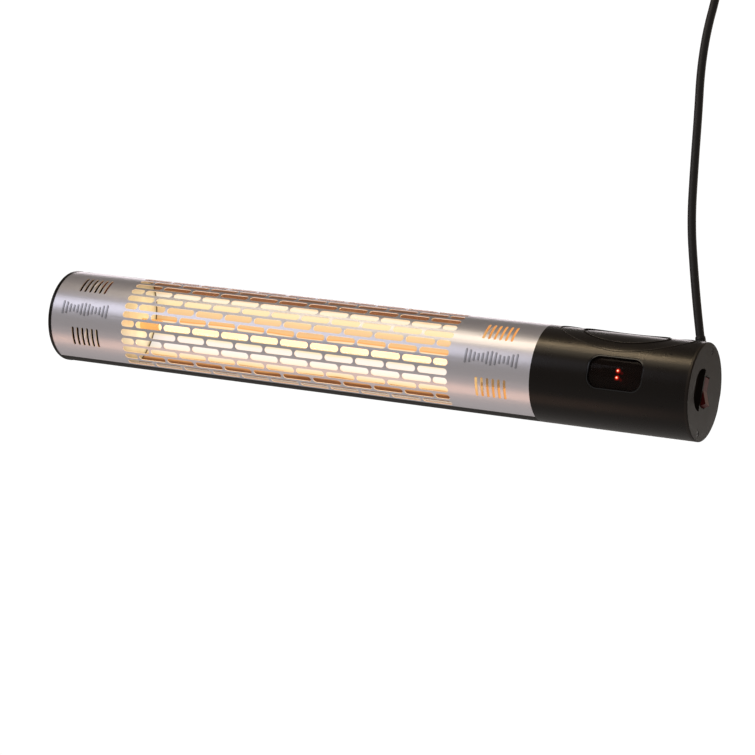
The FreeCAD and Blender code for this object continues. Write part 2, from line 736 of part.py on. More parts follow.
def build_left_cap():
    """Moulded cap pressed into the left end."""
    body = make_body("left_cap")
    rim = "dims.half_length + dims.left_end"
    plate = make_sketch(body, "left_cap_plate", "YZ_Plane", "-dims.half_length")
    cut_circle(plate, "dims.left_cap_radius", "dims.back_offset")
    pad(body, plate, rim)
    ring = make_sketch(body, "left_cap_ring", "YZ_Plane", "dims.left_end")
    cut_circle(ring, "dims.spigot_radius", "dims.back_offset - 1.1")
    inner = "dims.spigot_radius - dims.spigot_wall"
    cut_circle(ring, inner, "dims.back_offset - 1.1 - dims.spigot_wall")
    pad(body, ring, "9")
    round_edges(body, "left_cap_round", -number("dims.half_length"), 1.6)


def round_edges(body, name, x, radius):
    """Round the large circular edge that lies on a plane across the tube."""
    doc.recompute()
    last = body.Tip
    names = []
    for index, edge in enumerate(last.Shape.Edges, start=1):
        flat = all(abs(vertex.Point.x - x) < 1e-4 for vertex in edge.Vertexes)
        if flat and isinstance(edge.Curve, Part.Circle) and edge.Length > 100:
            names.append(f"Edge{index}")
    fillet = body.newObject("PartDesign::Fillet", name)
    fillet.Base = (last, names)
    fillet.Radius = radius
    return fillet


def window_outline(sketch, shrink="0"):
    """The window's outline, drawn in by a distance on every side."""
    rounded_rectangle(
        sketch, "dims.window_middle", "0",
        f"dims.window_length - 2*({shrink})",
        f"dims.window_height - 2*({shrink})",
        f"dims.window_corner - ({shrink})",
    )


def curved_to_tube(body, name, outer, inner):
    """Trim a body to the wall between two radii about the tube axis."""
    ring = make_sketch(body, f"{name}_outside", "YZ_Plane", "dims.steel_end")
    circle(ring, "0", "0", "2*dims.tube_radius")
    circle(ring, "0", "0", outer)
    pocket(body, ring, "dims.half_length - dims.steel_end")
    core = make_sketch(body, f"{name}_inside", "YZ_Plane", "dims.steel_end")
    circle(core, "0", "0", inner)
    pocket(body, core, "dims.half_length - dims.steel_end")


def post_places():
    """Where the four board screws go, as X and Z expressions."""
    for x in ("dims.board_left + dims.post_inset",
              "dims.board_left + dims.board_length - dims.post_inset"):
        for side in (-1, 1):
            yield x, f"({side})*(dims.board_half - dims.post_inset)"


def oval_cutter(name, half_length, half_width, depth):
    """An oval seen from above, as thick as a step sunk into the housing's surface."""
    edge = doc.addObject("Part::Ellipse", f"{name}_edge")
    edge.setExpression("MajorRadius", half_length)
    edge.setExpression("MinorRadius", half_width)
    move_to(edge, "dims.dish_middle", "-dims.dish_forward", "0")
    prism = doc.addObject("Part::Extrusion", f"{name}_prism")
    prism.Base = edge
    prism.DirMode = "Custom"
    prism.Dir = Vector(0, 0, 1)
    prism.Solid = True
    prism.setExpression("LengthFwd", "1.5*dims.tube_radius")
    skin = pipe(f"{name}_skin", f"dims.tube_radius - ({depth})", "dims.tube_radius + 10",
                "dims.half_length - dims.steel_end", "dims.steel_end")
    return common(name, prism, skin)


def build_housing():
    """Moulded control housing: window, board posts, screw bosses, cord boss and oval dish."""
    shell = doc.addObject("PartDesign::Body", "housing_shell")
    shell.setExpression("Placement.Base.y", "-dims.back_offset")
    section = make_sketch(shell, "housing_section", "YZ_Plane", "dims.steel_end")
    cut_circle(section, "dims.tube_radius", "dims.back_offset")
    cut_circle(section, "dims.tube_radius - dims.housing_wall", "dims.back_offset - dims.housing_wall")
    pad(shell, section, "dims.cap_seam - dims.steel_end")
    spigot = make_sketch(shell, "housing_spigot", "YZ_Plane", "dims.steel_end - dims.spigot_length")
    cut_circle(spigot, "dims.spigot_radius", "dims.back_offset - 1.1")
    cut_circle(spigot, "dims.spigot_radius - dims.spigot_wall",
               "dims.back_offset - 1.1 - dims.spigot_wall")
    pad(shell, spigot, "dims.spigot_length + 3")
    window = make_sketch(shell, "window_opening", "XZ_Plane", "dims.board_front")
    window_outline(window)
    pocket(shell, window, "dims.tube_radius - dims.board_front + 1")

    posts = []
    for index, (x, z) in enumerate(post_places()):
        posts.append(rod(f"post{index}", "dims.post_radius", "46 - dims.board_front",
                         x, "-46", z, "y"))
    bosses = []
    screw_holes = []
    for name, side in (("upper", 1), ("lower", -1)):
        z = f"({side})*dims.cap_screw_reach"
        boss_start = "dims.cap_seam - dims.cap_block_depth - 13"
        bosses.append(rod(f"{name}_screw_boss", "6.4", "12.9", boss_start, "0", z))
        screw_holes.append(rod(f"{name}_screw_hole", "1.95", "20", boss_start, "0", z))
    full_boss = leaning("full_cord_boss", "Part::Cylinder", "-20",
                        {"Radius": "dims.boss_radius", "Height": "20"})
    cap_room = rod("cap_room", "dims.tube_radius - dims.housing_wall", "dims.cap_block_depth + 0.1",
                   "dims.cap_seam - dims.cap_block_depth - 0.1")
    cord_boss = cut("cord_boss", full_boss, [cap_room])
    cord_hole = leaning("cord_hole", "Part::Cylinder", "-24",
                        {"Radius": "dims.boss_bore", "Height": "40"})
    for index, (x, z) in enumerate(post_places()):
        screw_holes.append(rod(f"post_hole{index}", "1.25", "9", x, "-dims.board_front - 9", z, "y"))
    side_holes = [across_tube("spigot_hole", turn, "2.15", "46", "10") for turn in (120, 240)]
    dish = oval_cutter("dish", "dims.dish_half_length", "dims.dish_half_width", "dims.dish_depth")
    pool = oval_cutter("pool", "dims.pool_half_length", "dims.pool_half_width", "dims.pool_depth")
    outside = block("outside_cap_boss", "dims.steel_end", "-dims.tube_radius", "-dims.tube_radius",
                    "dims.cap_seam - dims.steel_end", "2*dims.tube_radius", "2*dims.tube_radius")
    trimmed = common("screw_bosses", group("boss_pair", bosses),
                     common("boss_limit", outside, rod("boss_reach", "dims.tube_radius - 1",
                                                       "dims.half_length", "dims.steel_end")))
    blank = fuse("housing_blank", [shell, cord_boss, trimmed, *posts])
    tools = [cord_hole, dish, pool, *screw_holes, *side_holes]
    piece(cut("control_housing", blank, tools), "control_housing")


def across_tube(name, turn, radius, start, length):
    """A bar that points out from the tube axis, turned from straight ahead towards the top."""
    bar = doc.addObject("Part::Cylinder", f"{name}{turn}")
    outwards = Rotation(Vector(1, 0, 0), 90 - turn)
    bar.Placement = Placement(Vector(), outwards)
    bar.setExpression("Radius", radius)
    bar.setExpression("Height", length)
    y, z = on_circle(start, str(turn))
    return move_to(bar, "dims.steel_end - dims.spigot_length/2", y, z)


def build_housing_screws():
    """Two low-head screws on the back that join the steel tube to the housing's ring."""
    screws = []
    for turn in (120, 240):
        head = across_tube("side_head", turn, "3.6", "dims.tube_radius + 0.02", "1.5")
        shaft = across_tube("side_shaft", turn, "2.0", "dims.tube_radius - 6", "6.5")
        screws.append(fuse(f"side_screw{turn}", [head, shaft]))
    piece(group("housing_screws", screws), "housing_screws")


def build_window():
    """Rim and smoked lens of the control window."""
    for label, shrink, outer, inner, hollow in (
        ("window_bezel", "dims.bezel_gap", "dims.tube_radius - dims.bezel_sink",
         "dims.tube_radius - dims.housing_wall - 5", True),
        ("window_lens", "dims.bezel_gap + dims.bezel_wall + 0.02", "dims.tube_radius - dims.lens_sink",
         "dims.tube_radius - dims.lens_sink - dims.lens_thickness", False),
    ):
        body = make_body(label)
        section = make_sketch(body, f"{label}_outline", "XZ_Plane", "dims.board_front")
        window_outline(section, shrink)
        if hollow:
            window_outline(section, f"{shrink} + dims.bezel_wall")
        pad(body, section, "dims.tube_radius - dims.board_front + 1")
        curved_to_tube(body, label, outer, inner)


# ---------------------------------------------------------------- controls


def build_controls():
    """Circuit board and what stands on it."""
    back = "dims.board_thickness - dims.board_front"
    base = block("board_blank", "dims.board_left", "-dims.board_front", "-dims.board_half",
                 "dims.board_length", "dims.board_thickness", "2*dims.board_half")
    holes = []
    screws = []
    for index, (x, z) in enumerate(post_places()):
        holes.append(rod(f"board_hole{index}", "1.4", "dims.board_thickness", x,
                         "-dims.board_front", z, "y"))
        shaft = rod(f"board_shaft{index}", "1.2", "dims.board_thickness + 6", x,
                    "-dims.board_front - 6", z, "y")
        head = rod(f"board_head{index}", "2.6", "1.8", x, back, z, "y")
        screws.append(fuse(f"board_screw{index}", [shaft, head]))
    piece(cut("control_board", base, holes), "control_board")
    piece(group("board_screws", screws), "board_screws")

    lights = []
    for name, z in (("upper", "4.4"), ("lower", "-3.1")):
        stem = rod(f"{name}_led_stem", "1.5", "12.5", "dims.window_middle", "-dims.board_front - 12.5",
                   z, "y")
        tip = doc.addObject("Part::Sphere", f"{name}_led_tip")
        tip.Radius = 1.5
        move_to(tip, "dims.window_middle", "-dims.board_front - 12.5", z)
        lights.append(fuse(f"{name}_led", [stem, tip]))
    piece(group("status_leds", lights), "status_leds")

    can = block("receiver_can", "290", "-dims.board_front - 10", "-4", "11", "10", "11")
    eye = doc.addObject("Part::Sphere", "receiver_eye")
    eye.Radius = 4.6
    move_to(eye, "295.5", "-dims.board_front - 10", "1.5")
    piece(fuse("ir_receiver", [can, eye]), "ir_receiver")

    piece(block("relay", "268", back, "-8", "20", "16", "16"), "relay")
    piece(block("transformer", "330", back, "-14", "26", "20", "28"), "transformer")
    piece(rod("capacitor", "6", "15", "300", f"{back} + 6.02", "14"), "capacitor")
    terminal = block("terminal_body", "362", back, "-12", "12", "12", "24")
    wire_holes = [rod(f"terminal_hole{index}", "1.7", "8", "366.1", f"{back} + 6", z)
                  for index, z in enumerate(("-8", "0", "8"))]
    piece(cut("terminal_block", terminal, wire_holes), "terminal_block")

    disc = rod("cutout_disc", "8", "6", "dims.shield_at + dims.plate_thickness", "18", "20")
    tabs = block("cutout_tabs", "dims.shield_at + dims.plate_thickness + 6", "14", "18", "6", "0.8", "4")
    tabs_two = block("cutout_tab_two", "dims.shield_at + dims.plate_thickness + 6", "21", "18",
                     "6", "0.8", "4")
    piece(fuse("thermal_cutout", [disc, tabs, tabs_two]), "thermal_cutout")


# ---------------------------------------------------------------- right cap and switch


def build_right_cap():
    """End cap with a finger scoop beside the switch."""
    shell = doc.addObject("PartDesign::Body", "right_cap_blank")
    shell.setExpression("Placement.Base.y", "-dims.back_offset")
    plate = make_sketch(shell, "right_cap_plate", "YZ_Plane", "dims.cap_seam")
    cut_circle(plate, "dims.tube_radius", "dims.back_offset")
    pad(shell, plate, "dims.half_length - dims.cap_seam")
    ring = make_sketch(shell, "right_cap_ring", "YZ_Plane", "dims.cap_seam - dims.cap_block_depth")
    outer = "dims.tube_radius - dims.housing_wall - 0.1"
    flat = "dims.back_offset - dims.housing_wall - 0.1"
    cut_circle(ring, outer, flat)
    pad(shell, ring, "dims.cap_block_depth")
    hollow = make_sketch(shell, "right_cap_hollow", "YZ_Plane", "dims.cap_seam - dims.cap_block_depth")
    rectangle(hollow, "16", "-30", "46", "30")
    pocket(shell, hollow, "dims.cap_block_depth")
    round_edges(shell, "right_cap_round", number("dims.half_length"), 1.4)

    flange_half = "dims.cavity_half_width + dims.switch_wall + dims.flange_rim"
    flange_high = "dims.cavity_half_height + dims.switch_wall + dims.flange_rim"
    switch_seat = rounded_block("flange_seat", "dims.half_length - dims.flange_thickness", "5",
                                f"{flange_half} + 0.1", f"{flange_high} + 0.1", "2.6")
    switch_hole = rounded_block("switch_hole", "dims.cap_seam - dims.cap_block_depth - 1", "20",
                                "dims.cavity_half_width + dims.switch_wall + 0.05",
                                "dims.cavity_half_height + dims.switch_wall + 0.05", "1.5")
    ramp = doc.addObject("PartDesign::Body", "scoop_ramp")
    ramp.setExpression("Placement.Base.y", "-dims.back_offset")
    side = make_sketch(ramp, "scoop_side", "XY_Plane", "-dims.scoop_radius")
    far = "-(dims.scoop_forward + dims.scoop_radius)"
    outline(side, [
        ("dims.half_length", far),
        ("dims.half_length - dims.scoop_depth", "-dims.scoop_end - 5"),
        ("dims.half_length - dims.scoop_depth", "-dims.scoop_end"),
        ("dims.half_length + 2", "-dims.scoop_end"),
        ("dims.half_length + 2", far),
    ])
    pad(ramp, side, "2*dims.scoop_radius")
    bowl = rod("scoop_round", "dims.scoop_radius", "30", "dims.half_length - 20",
               "-dims.scoop_forward", "0")
    scoop = common("scoop", ramp, bowl)
    holes = []
    for name, sign in (("top", 1), ("bottom", -1)):
        z = f"({sign})*dims.cap_screw_reach"
        holes.append(rod(f"{name}_cap_hole", "2.1", "30", "dims.half_length - 25", "0", z))
        holes.append(rod(f"{name}_cap_seat", "3.7", "10", "dims.half_length - 1.5", "0", z))
    piece(cut("right_cap", shell, [switch_seat, switch_hole, scoop, *holes]), "right_cap")

    screws = []
    for name, sign in (("top", 1), ("bottom", -1)):
        z = f"({sign})*dims.cap_screw_reach"
        shaft = rod(f"{name}_cap_shaft", "1.9", "23", "dims.half_length - 24.5", "0", z)
        head = rod(f"{name}_cap_head", "3.3", "1.3", "dims.half_length - 1.5", "0", z)
        socket = rod(f"{name}_cap_socket", "1.2", "5", "dims.half_length - 1.3", "0", z)
        screws.append(cut(f"{name}_cap_screw", fuse(f"{name}_screw_blank", [shaft, head]), [socket]))
    piece(group("cap_screws", screws), "cap_screws")


def rounded_block(name, x, length, half_width, half_height, radius):
    """A bar along X with rounded long edges, centred on the tube axis."""
    body = doc.addObject("PartDesign::Body", name)
    body.setExpression("Placement.Base.y", "-dims.back_offset")
    section = make_sketch(body, f"{name}_section", "YZ_Plane", x)
    rounded_rectangle(section, "0", "0", f"2*({half_width})", f"2*({half_height})", radius)
    pad(body, section, length)
    return body


def build_switch():
    """Rocker switch: moulded body with its flange, the rocker and three tabs."""
    body_half = "dims.cavity_half_width + dims.switch_wall"
    body_high = "dims.cavity_half_height + dims.switch_wall"
    back = "dims.half_length - dims.switch_depth"
    can = rounded_block("switch_can", back, "dims.switch_depth - 0.5", body_half, body_high, "1.5")
    flange = rounded_block("switch_flange", "dims.half_length - dims.flange_thickness",
                           "dims.flange_thickness", f"{body_half} + dims.flange_rim",
                           f"{body_high} + dims.flange_rim", "2.5")
    cavity = rounded_block("switch_cavity", "dims.half_length - dims.cavity_depth", "20",
                           "dims.cavity_half_width", "dims.cavity_half_height", "0.6")
    socket = rod("pin_socket", "dims.pin_radius + dims.pin_clearance", "dims.pin_span + 0.6",
                 "dims.pivot_at", "-dims.pin_span/2 - 0.3", "0", "y")
    piece(cut("switch_body", fuse("switch_blank", [can, flange]), [cavity, socket]), "switch_body")

    rocker = make_body("power_rocker")
    face = make_sketch(rocker, "rocker_face", "XZ_Plane", "-dims.rocker_width/2")

    def about_pivot(radius, angle):
        """A point by its angle from straight up towards the outside."""
        return f"dims.pivot_at + ({radius})*sin({angle})", f"({radius})*cos({angle})"

    corners = [
        about_pivot("dims.rocker_middle", "90 - dims.rocker_tilt"),
        about_pivot("dims.rocker_radius", "dims.rocker_rise - dims.rocker_tilt"),
        about_pivot("dims.rocker_radius", "-10 - dims.rocker_tilt"),
        about_pivot("dims.rocker_radius", "190 - dims.rocker_tilt"),
        about_pivot("dims.rocker_radius", "180 - dims.rocker_rise - dims.rocker_tilt"),
    ]
    outline(face, corners, {1: ("dims.rocker_radius", True), 3: ("dims.rocker_radius", True)})
    pad(rocker, face, "dims.rocker_width")
    pins = make_sketch(rocker, "rocker_pins", "XZ_Plane", "-dims.pin_span/2")
    circle(pins, "dims.pivot_at", "0", "dims.pin_radius")
    pad(rocker, pins, "dims.pin_span")

    tabs = [block(f"switch_tab{index}", f"{back} - 9", "-3.15", z, "9", "6.3", "0.8")
            for index, z in enumerate(("-9", "0", "9"))]
    piece(group("switch_terminals", tabs), "switch_terminals")
    tab_tip = number(f"{back}") - 9
    cable("switch_lead", [
        Vector(tab_tip - 0.05, 0, 9.4),
        Vector(tab_tip - 6, 0, 9.6),
        Vector(tab_tip - 8, 3, 18),
        Vector(366, 2, 25),
        Vector(352, -3, 27),
        Vector(344, -7, 20),
    ], 1.3)


# ---------------------------------------------------------------- cord and its fittings


def build_cord():
    """Supply cord: bushing and strain relief at the housing, cord, and a ceiling fitting."""
    clear = "dims.cord_radius + dims.bore_gap"
    sleeve = leaning("bushing_sleeve", "Part::Cylinder", "-14",
                     {"Radius": "dims.boss_bore - 0.05", "Height": "14"})
    sleeve_hole = leaning("bushing_hole", "Part::Cylinder", "-20", {"Radius": clear, "Height": "30"})
    piece(cut("cord_bushing", sleeve, [sleeve_hole]), "cord_bushing")
    inner = leaning("inner_cord", "Part::Cylinder", "-26",
                    {"Radius": "dims.cord_radius", "Height": "25.95"})
    piece(inner, "inner_cord")
    cone = leaning("relief_cone", "Part::Cone", "0",
                   {"Radius1": "dims.relief_base", "Radius2": "dims.relief_tip",
                    "Height": "dims.relief_length"})
    cone_hole = leaning("relief_hole", "Part::Cylinder", "-1", {"Radius": clear, "Height": "60"})
    piece(cut("strain_relief", cone, [cone_hole]), "strain_relief")

    back = number("dims.cord_back")
    route = [Vector(x, back, z) for x, z in CORD_ROUTE]
    cable("supply_cord", route, number("dims.cord_radius"))

    end_x = str(CORD_ROUTE[-1][0])
    nose = doc.addObject("Part::Cone", "grip_nose")
    nose.setExpression("Radius1", "dims.cord_radius + 1.2")
    nose.setExpression("Radius2", "dims.cord_radius + 4")
    nose.setExpression("Height", "dims.cup_bottom - dims.grip_bottom")
    move_to(nose, end_x, "dims.cord_back", "dims.grip_bottom")
    neck = rod("grip_neck", "dims.cord_radius + 2", "dims.cup_wall + 4", end_x,
               "dims.cord_back", "dims.cup_bottom", "z")
    grip_hole = rod("grip_hole", "dims.cord_radius + 0.6", "60", end_x,
                    "dims.cord_back", "dims.grip_bottom - 10", "z")
    piece(cut("cord_grip", fuse("grip_blank", [nose, neck]), [grip_hole]), "cord_grip")

    cup = doc.addObject("Part::Cone", "cup_outside")
    cup.setExpression("Radius1", "dims.cup_radius - 5")
    cup.setExpression("Radius2", "dims.cup_radius")
    cup.setExpression("Height", "dims.cup_height")
    move_to(cup, end_x, "dims.cord_back", "dims.cup_bottom")
    hollow = doc.addObject("Part::Cone", "cup_inside")
    hollow.setExpression("Radius1", "dims.cup_radius - 5 - dims.cup_wall")
    hollow.setExpression("Radius2", "dims.cup_radius - dims.cup_wall")
    hollow.setExpression("Height", "dims.cup_height")
    move_to(hollow, end_x, "dims.cord_back", "dims.cup_bottom + dims.cup_wall")
    cup_hole = rod("cup_hole", "dims.cord_radius + 2.05", "20", end_x, "dims.cord_back",
                   "dims.cup_bottom - 5", "z")
    piece(cut("ceiling_cup", cup, [hollow, cup_hole]), "ceiling_cup")


def check_and_export():
    """Stop on anything that failed, then write one file per sub-part."""
    doc.recompute()
    failed = [item.Name for item in doc.Objects if {"Invalid", "Error"} & set(item.State)]
    for item in pieces:
        shape = item.Shape
        if shape.isNull() or not shape.isValid() or not shape.Solids:
            failed.append(item.Label)
        else:
            print(f"{item.Label}: {len(shape.Solids)} solid, {shape.Volume / 1000:.2f} cm3")
    if failed:
        raise RuntimeError(f"failed: {failed}")
    os.makedirs("parts", exist_ok=True)
    for item in pieces:
        item.Shape.exportStep(f"parts/{item.Label}.step")
    print(len(pieces), "sub-parts written")


build_front_grille()
build_rear_shell()
build_rails()
build_mount()
build_reflector()
build_plates()
build_lamp()
build_leads()
build_left_cap()
build_housing()
build_housing_screws()
build_window()
build_controls()
build_right_cap()
build_switch()
build_cord()
check_and_export()
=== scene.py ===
# %% [markdown]
# # A tubular heat lamp over a food counter
# The real object is a steel tube with a slotted stainless front. A quartz lamp glows inside it in
# front of a polished trough, and a black moulded control end carries a window, a rocker switch and
# the supply cord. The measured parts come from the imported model, and this script gives them their
# finishes, adds the soft and fine pieces, and sets up a small photo studio.
#
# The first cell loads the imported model. Everything is in metres in one shared frame: X runs along
# the tube, -Y is the heated front, +Z is up, and the origin is on the flat back.

# %% Load the frame
import json
import math

import bmesh
import bpy
from mathutils import Matrix, Vector

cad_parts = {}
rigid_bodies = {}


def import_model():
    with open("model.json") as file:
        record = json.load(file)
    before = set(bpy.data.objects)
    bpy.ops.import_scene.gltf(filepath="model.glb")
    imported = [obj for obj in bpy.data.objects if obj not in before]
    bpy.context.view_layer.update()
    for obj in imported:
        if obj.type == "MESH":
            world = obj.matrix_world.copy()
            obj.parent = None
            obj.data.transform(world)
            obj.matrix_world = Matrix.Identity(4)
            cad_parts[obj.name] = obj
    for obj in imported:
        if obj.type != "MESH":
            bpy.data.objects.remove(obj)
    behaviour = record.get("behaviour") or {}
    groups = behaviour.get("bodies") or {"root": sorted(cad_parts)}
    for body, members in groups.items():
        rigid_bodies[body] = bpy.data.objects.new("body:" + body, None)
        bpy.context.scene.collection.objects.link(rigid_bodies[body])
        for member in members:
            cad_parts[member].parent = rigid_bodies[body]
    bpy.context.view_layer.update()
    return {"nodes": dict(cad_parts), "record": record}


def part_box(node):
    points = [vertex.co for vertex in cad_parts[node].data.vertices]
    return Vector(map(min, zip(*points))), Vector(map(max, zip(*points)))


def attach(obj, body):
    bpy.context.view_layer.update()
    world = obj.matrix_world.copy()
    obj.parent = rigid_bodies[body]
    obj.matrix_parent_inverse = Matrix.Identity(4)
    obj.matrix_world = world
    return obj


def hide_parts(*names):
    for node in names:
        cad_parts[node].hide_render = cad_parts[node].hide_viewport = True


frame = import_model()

MM = 0.001
print("nodes in the frame:", len(frame["nodes"]))

# %% [markdown]
# The tube's own sizes are read from the frame, so that nothing here repeats a measure that the
# model already holds. The top of the housing gives the radius, and the axis lies one radius behind
# the foremost line of the front sheet.

# %% Sizes read from the frame
grille_low, grille_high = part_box("front_grille")
TUBE_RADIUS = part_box("control_housing")[1].z
AXIS_Y = grille_low.y + TUBE_RADIUS
STEEL_LEFT = grille_low.x
STEEL_RIGHT = grille_high.x
BODY = frame["record"]["behaviour"]["joints"][0]["parent"]
print("tube radius", round(TUBE_RADIUS, 4), "axis at y", round(AXIS_Y, 4))

# %% [markdown]
# The camera comes first, because the cord has to end just outside its view. It stands in front of
# the control end, a little below the tube, and is turned a few degrees about its own axis, which
# makes the tube slope down to the right. A long lens keeps the perspective gentle.

# %% Camera
CAMERA_PLACE = Vector((1.26454, -2.53819, -0.41042))
CAMERA_AIM = Vector((-0.44425, 0.88552, 0.13596))
CAMERA_UP = Vector((-0.113, -0.20593, 0.97202))
CAMERA_LENS = 117.48
SENSOR_WIDTH = 36.0


def make_camera():
    camera_data = bpy.data.cameras.new("studio_camera")
    camera_data.lens = CAMERA_LENS
    camera_data.sensor_width = SENSOR_WIDTH
    camera = bpy.data.objects.new("studio_camera", camera_data)
    bpy.context.scene.collection.objects.link(camera)
    forward = CAMERA_AIM.normalized()
    right = forward.cross(CAMERA_UP).normalized()
    upright = right.cross(forward)
    turn = Matrix((right, upright, -forward)).transposed().to_4x4()
    camera.matrix_world = Matrix.Translation(CAMERA_PLACE) @ turn
    bpy.context.scene.camera = camera
    return camera


camera = make_camera()
print("camera", tuple(round(v, 3) for v in camera.location))

# %% [markdown]
# A material is a small graph of nodes. A few helpers keep the graphs short: one adds a node, one
# starts a material with its main shader, and the others make the steps that most finishes share:
# a noise, a range of values, relief, a mix of two colours, and a glow. Numbers that are the same
# all over a surface are set on the shader's own sockets.

# %% Helpers for materials


def add_node(tree, kind, place=(0, 0), **properties):
    """Add a node and set its plain properties by name."""
    node = tree.nodes.new(kind)
    node.location = place
    for name, value in properties.items():
        setattr(node, name, value)
    return node


def start_material(name, colour, roughness, metallic=0.0):
    """A material with its main shader's plain values set."""
    material = bpy.data.materials.new(name)
    material.use_nodes = True
    material.diffuse_color = (*colour, 1)
    shader = material.node_tree.nodes["Principled BSDF"]
    shader.inputs["Base Color"].default_value = (*colour, 1)
    shader.inputs["Roughness"].default_value = roughness
    shader.inputs["Metallic"].default_value = metallic
    return material, material.node_tree, shader


def object_coordinates(tree, scale=(1, 1, 1)):
    """Coordinates in metres on the finished object, stretched by a scale for each axis."""
    coordinates = add_node(tree, "ShaderNodeTexCoord", (-1100, 0))
    mapping = add_node(tree, "ShaderNodeMapping", (-900, 0))
    mapping.inputs["Scale"].default_value = scale
    tree.links.new(coordinates.outputs["Object"], mapping.inputs["Vector"])
    return mapping.outputs["Vector"]


def grain(tree, vector, scale, detail=4.0, place=(-700, 0)):
    """Noise between 0 and 1 at a scale given in repeats per metre."""
    noise = add_node(tree, "ShaderNodeTexNoise", place)
    noise.inputs["Scale"].default_value = scale
    noise.inputs["Detail"].default_value = detail
    tree.links.new(vector, noise.inputs["Vector"])
    return noise.outputs["Fac"]


def spread(tree, factor, low, high, socket, place=(-400, 0)):
    """Map a 0 to 1 factor to a range of values and feed it to a socket."""
    ramp = add_node(tree, "ShaderNodeMapRange", place)
    ramp.inputs["To Min"].default_value = low
    ramp.inputs["To Max"].default_value = high
    tree.links.new(factor, ramp.inputs["Value"])
    tree.links.new(ramp.outputs["Result"], socket)


def bump(tree, shader, height, strength, distance=0.0002, place=(-300, -300)):
    """Turn a height into small relief on the surface."""
    relief = add_node(tree, "ShaderNodeBump", place)
    relief.inputs["Strength"].default_value = strength
    relief.inputs["Distance"].default_value = distance
    tree.links.new(height, relief.inputs["Height"])
    tree.links.new(relief.outputs["Normal"], shader.inputs["Normal"])


def tint(tree, factor, dark, light, socket, place=(-400, 200)):
    """Mix between two colours by a factor."""
    mix = add_node(tree, "ShaderNodeMix", place, data_type="RGBA")
    mix.inputs["A"].default_value = (*dark, 1)
    mix.inputs["B"].default_value = (*light, 1)
    tree.links.new(factor, mix.inputs["Factor"])
    tree.links.new(mix.outputs["Result"], socket)


def glow(tree, shader, colour, strength):
    """Let the surface give off light of a colour that the graph works out."""
    tree.links.new(colour, shader.inputs["Emission Color"])
    shader.inputs["Emission Strength"].default_value = strength


def give(material, *nodes):
    """Put one material on several CAD nodes."""
    for node in nodes:
        mesh = frame["nodes"][node].data
        mesh.materials.clear()
        mesh.materials.append(material)


# %% [markdown]
# The front sheet is stainless steel with a fine grain that runs along the tube. Real brushing is
# thousands of tiny scratches, so noise is stretched along X and used for the roughness and a faint
# relief. The slot walls face the lamp and glow with its light, which is a warm edge just below the
# outer skin: a distance from the tube's axis tells the shader where that edge is.

# %% Brushed stainless with lamp-lit slot edges
SKIN_DEPTH = 0.14 * MM
WIRE_LOW, WIRE_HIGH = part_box("filament")
LAMP_MIDDLE = (WIRE_LOW.x + WIRE_HIGH.x) / 2
LAMP_REACH = (WIRE_HIGH.x - WIRE_LOW.x) / 2
LAMP_FADE = 90 * MM
FAR_FROM_LAMP = 0.12


def split_coordinates(tree, place=(-1300, -500)):
    """The three object coordinates of a point, each on its own output."""
    coordinates = add_node(tree, "ShaderNodeTexCoord", (place[0] - 200, place[1]))
    split = add_node(tree, "ShaderNodeSeparateXYZ", place)
    tree.links.new(coordinates.outputs["Object"], split.inputs[0])
    return split


def axis_distance(tree):
    """Distance from the tube's axis, and the separate coordinates it is worked out from."""
    split = split_coordinates(tree)
    centred = add_node(tree, "ShaderNodeMath", (-1100, -500), operation="SUBTRACT")
    centred.inputs[1].default_value = AXIS_Y
    flat = add_node(tree, "ShaderNodeCombineXYZ", (-900, -500))
    length = add_node(tree, "ShaderNodeVectorMath", (-700, -500), operation="LENGTH")
    tree.links.new(split.outputs["Y"], centred.inputs[0])
    tree.links.new(centred.outputs[0], flat.inputs["Y"])
    tree.links.new(split.outputs["Z"], flat.inputs["Z"])
    tree.links.new(flat.outputs[0], length.inputs[0])
    return length.outputs["Value"], split


def map_range(tree, value, from_low, from_high, to_low=0.0, to_high=1.0, place=(-500, -500)):
    """A clamped linear map of one value."""
    node = add_node(tree, "ShaderNodeMapRange", place)
    node.inputs["From Min"].default_value = from_low
    node.inputs["From Max"].default_value = from_high
    node.inputs["To Min"].default_value = to_low
    node.inputs["To Max"].default_value = to_high
    tree.links.new(value, node.inputs["Value"])
    return node.outputs["Result"]


def times(tree, first, second, place=(-300, -500)):
    """The product of two values."""
    node = add_node(tree, "ShaderNodeMath", place, operation="MULTIPLY")
    tree.links.new(first, node.inputs[0])
    tree.links.new(second, node.inputs[1])
    return node.outputs[0]


def near_lamp(tree, split):
    """One beside the lit length of the lamp, fading out past its ends."""
    offset = add_node(tree, "ShaderNodeMath", (-1100, -800), operation="SUBTRACT")
    offset.inputs[1].default_value = LAMP_MIDDLE
    tree.links.new(split.outputs["X"], offset.inputs[0])
    away = add_node(tree, "ShaderNodeMath", (-900, -800), operation="ABSOLUTE")
    tree.links.new(offset.outputs[0], away.inputs[0])
    return map_range(tree, away.outputs[0], LAMP_REACH, LAMP_REACH + LAMP_FADE, 1.0, FAR_FROM_LAMP,
                     (-700, -800))


def colour_ramp(tree, factor, stops, place=(-300, -200)):
    """A ramp through (position, colour) stops."""
    node = add_node(tree, "ShaderNodeValToRGB", place)
    ramp = node.color_ramp
    while len(ramp.elements) < len(stops):
        ramp.elements.new(1.0)
    for element, (position, colour) in zip(ramp.elements, stops):
        element.position = position
        element.color = (*colour, 1)
    tree.links.new(factor, node.inputs["Fac"])
    return node.outputs["Color"]


def scaled_colour(tree, colour, factor, place=(-100, -400)):
    """A colour dimmed by a value."""
    node = add_node(tree, "ShaderNodeVectorMath", place, operation="SCALE")
    tree.links.new(colour, node.inputs[0])
    tree.links.new(factor, node.inputs["Scale"])
    return node.outputs["Vector"]


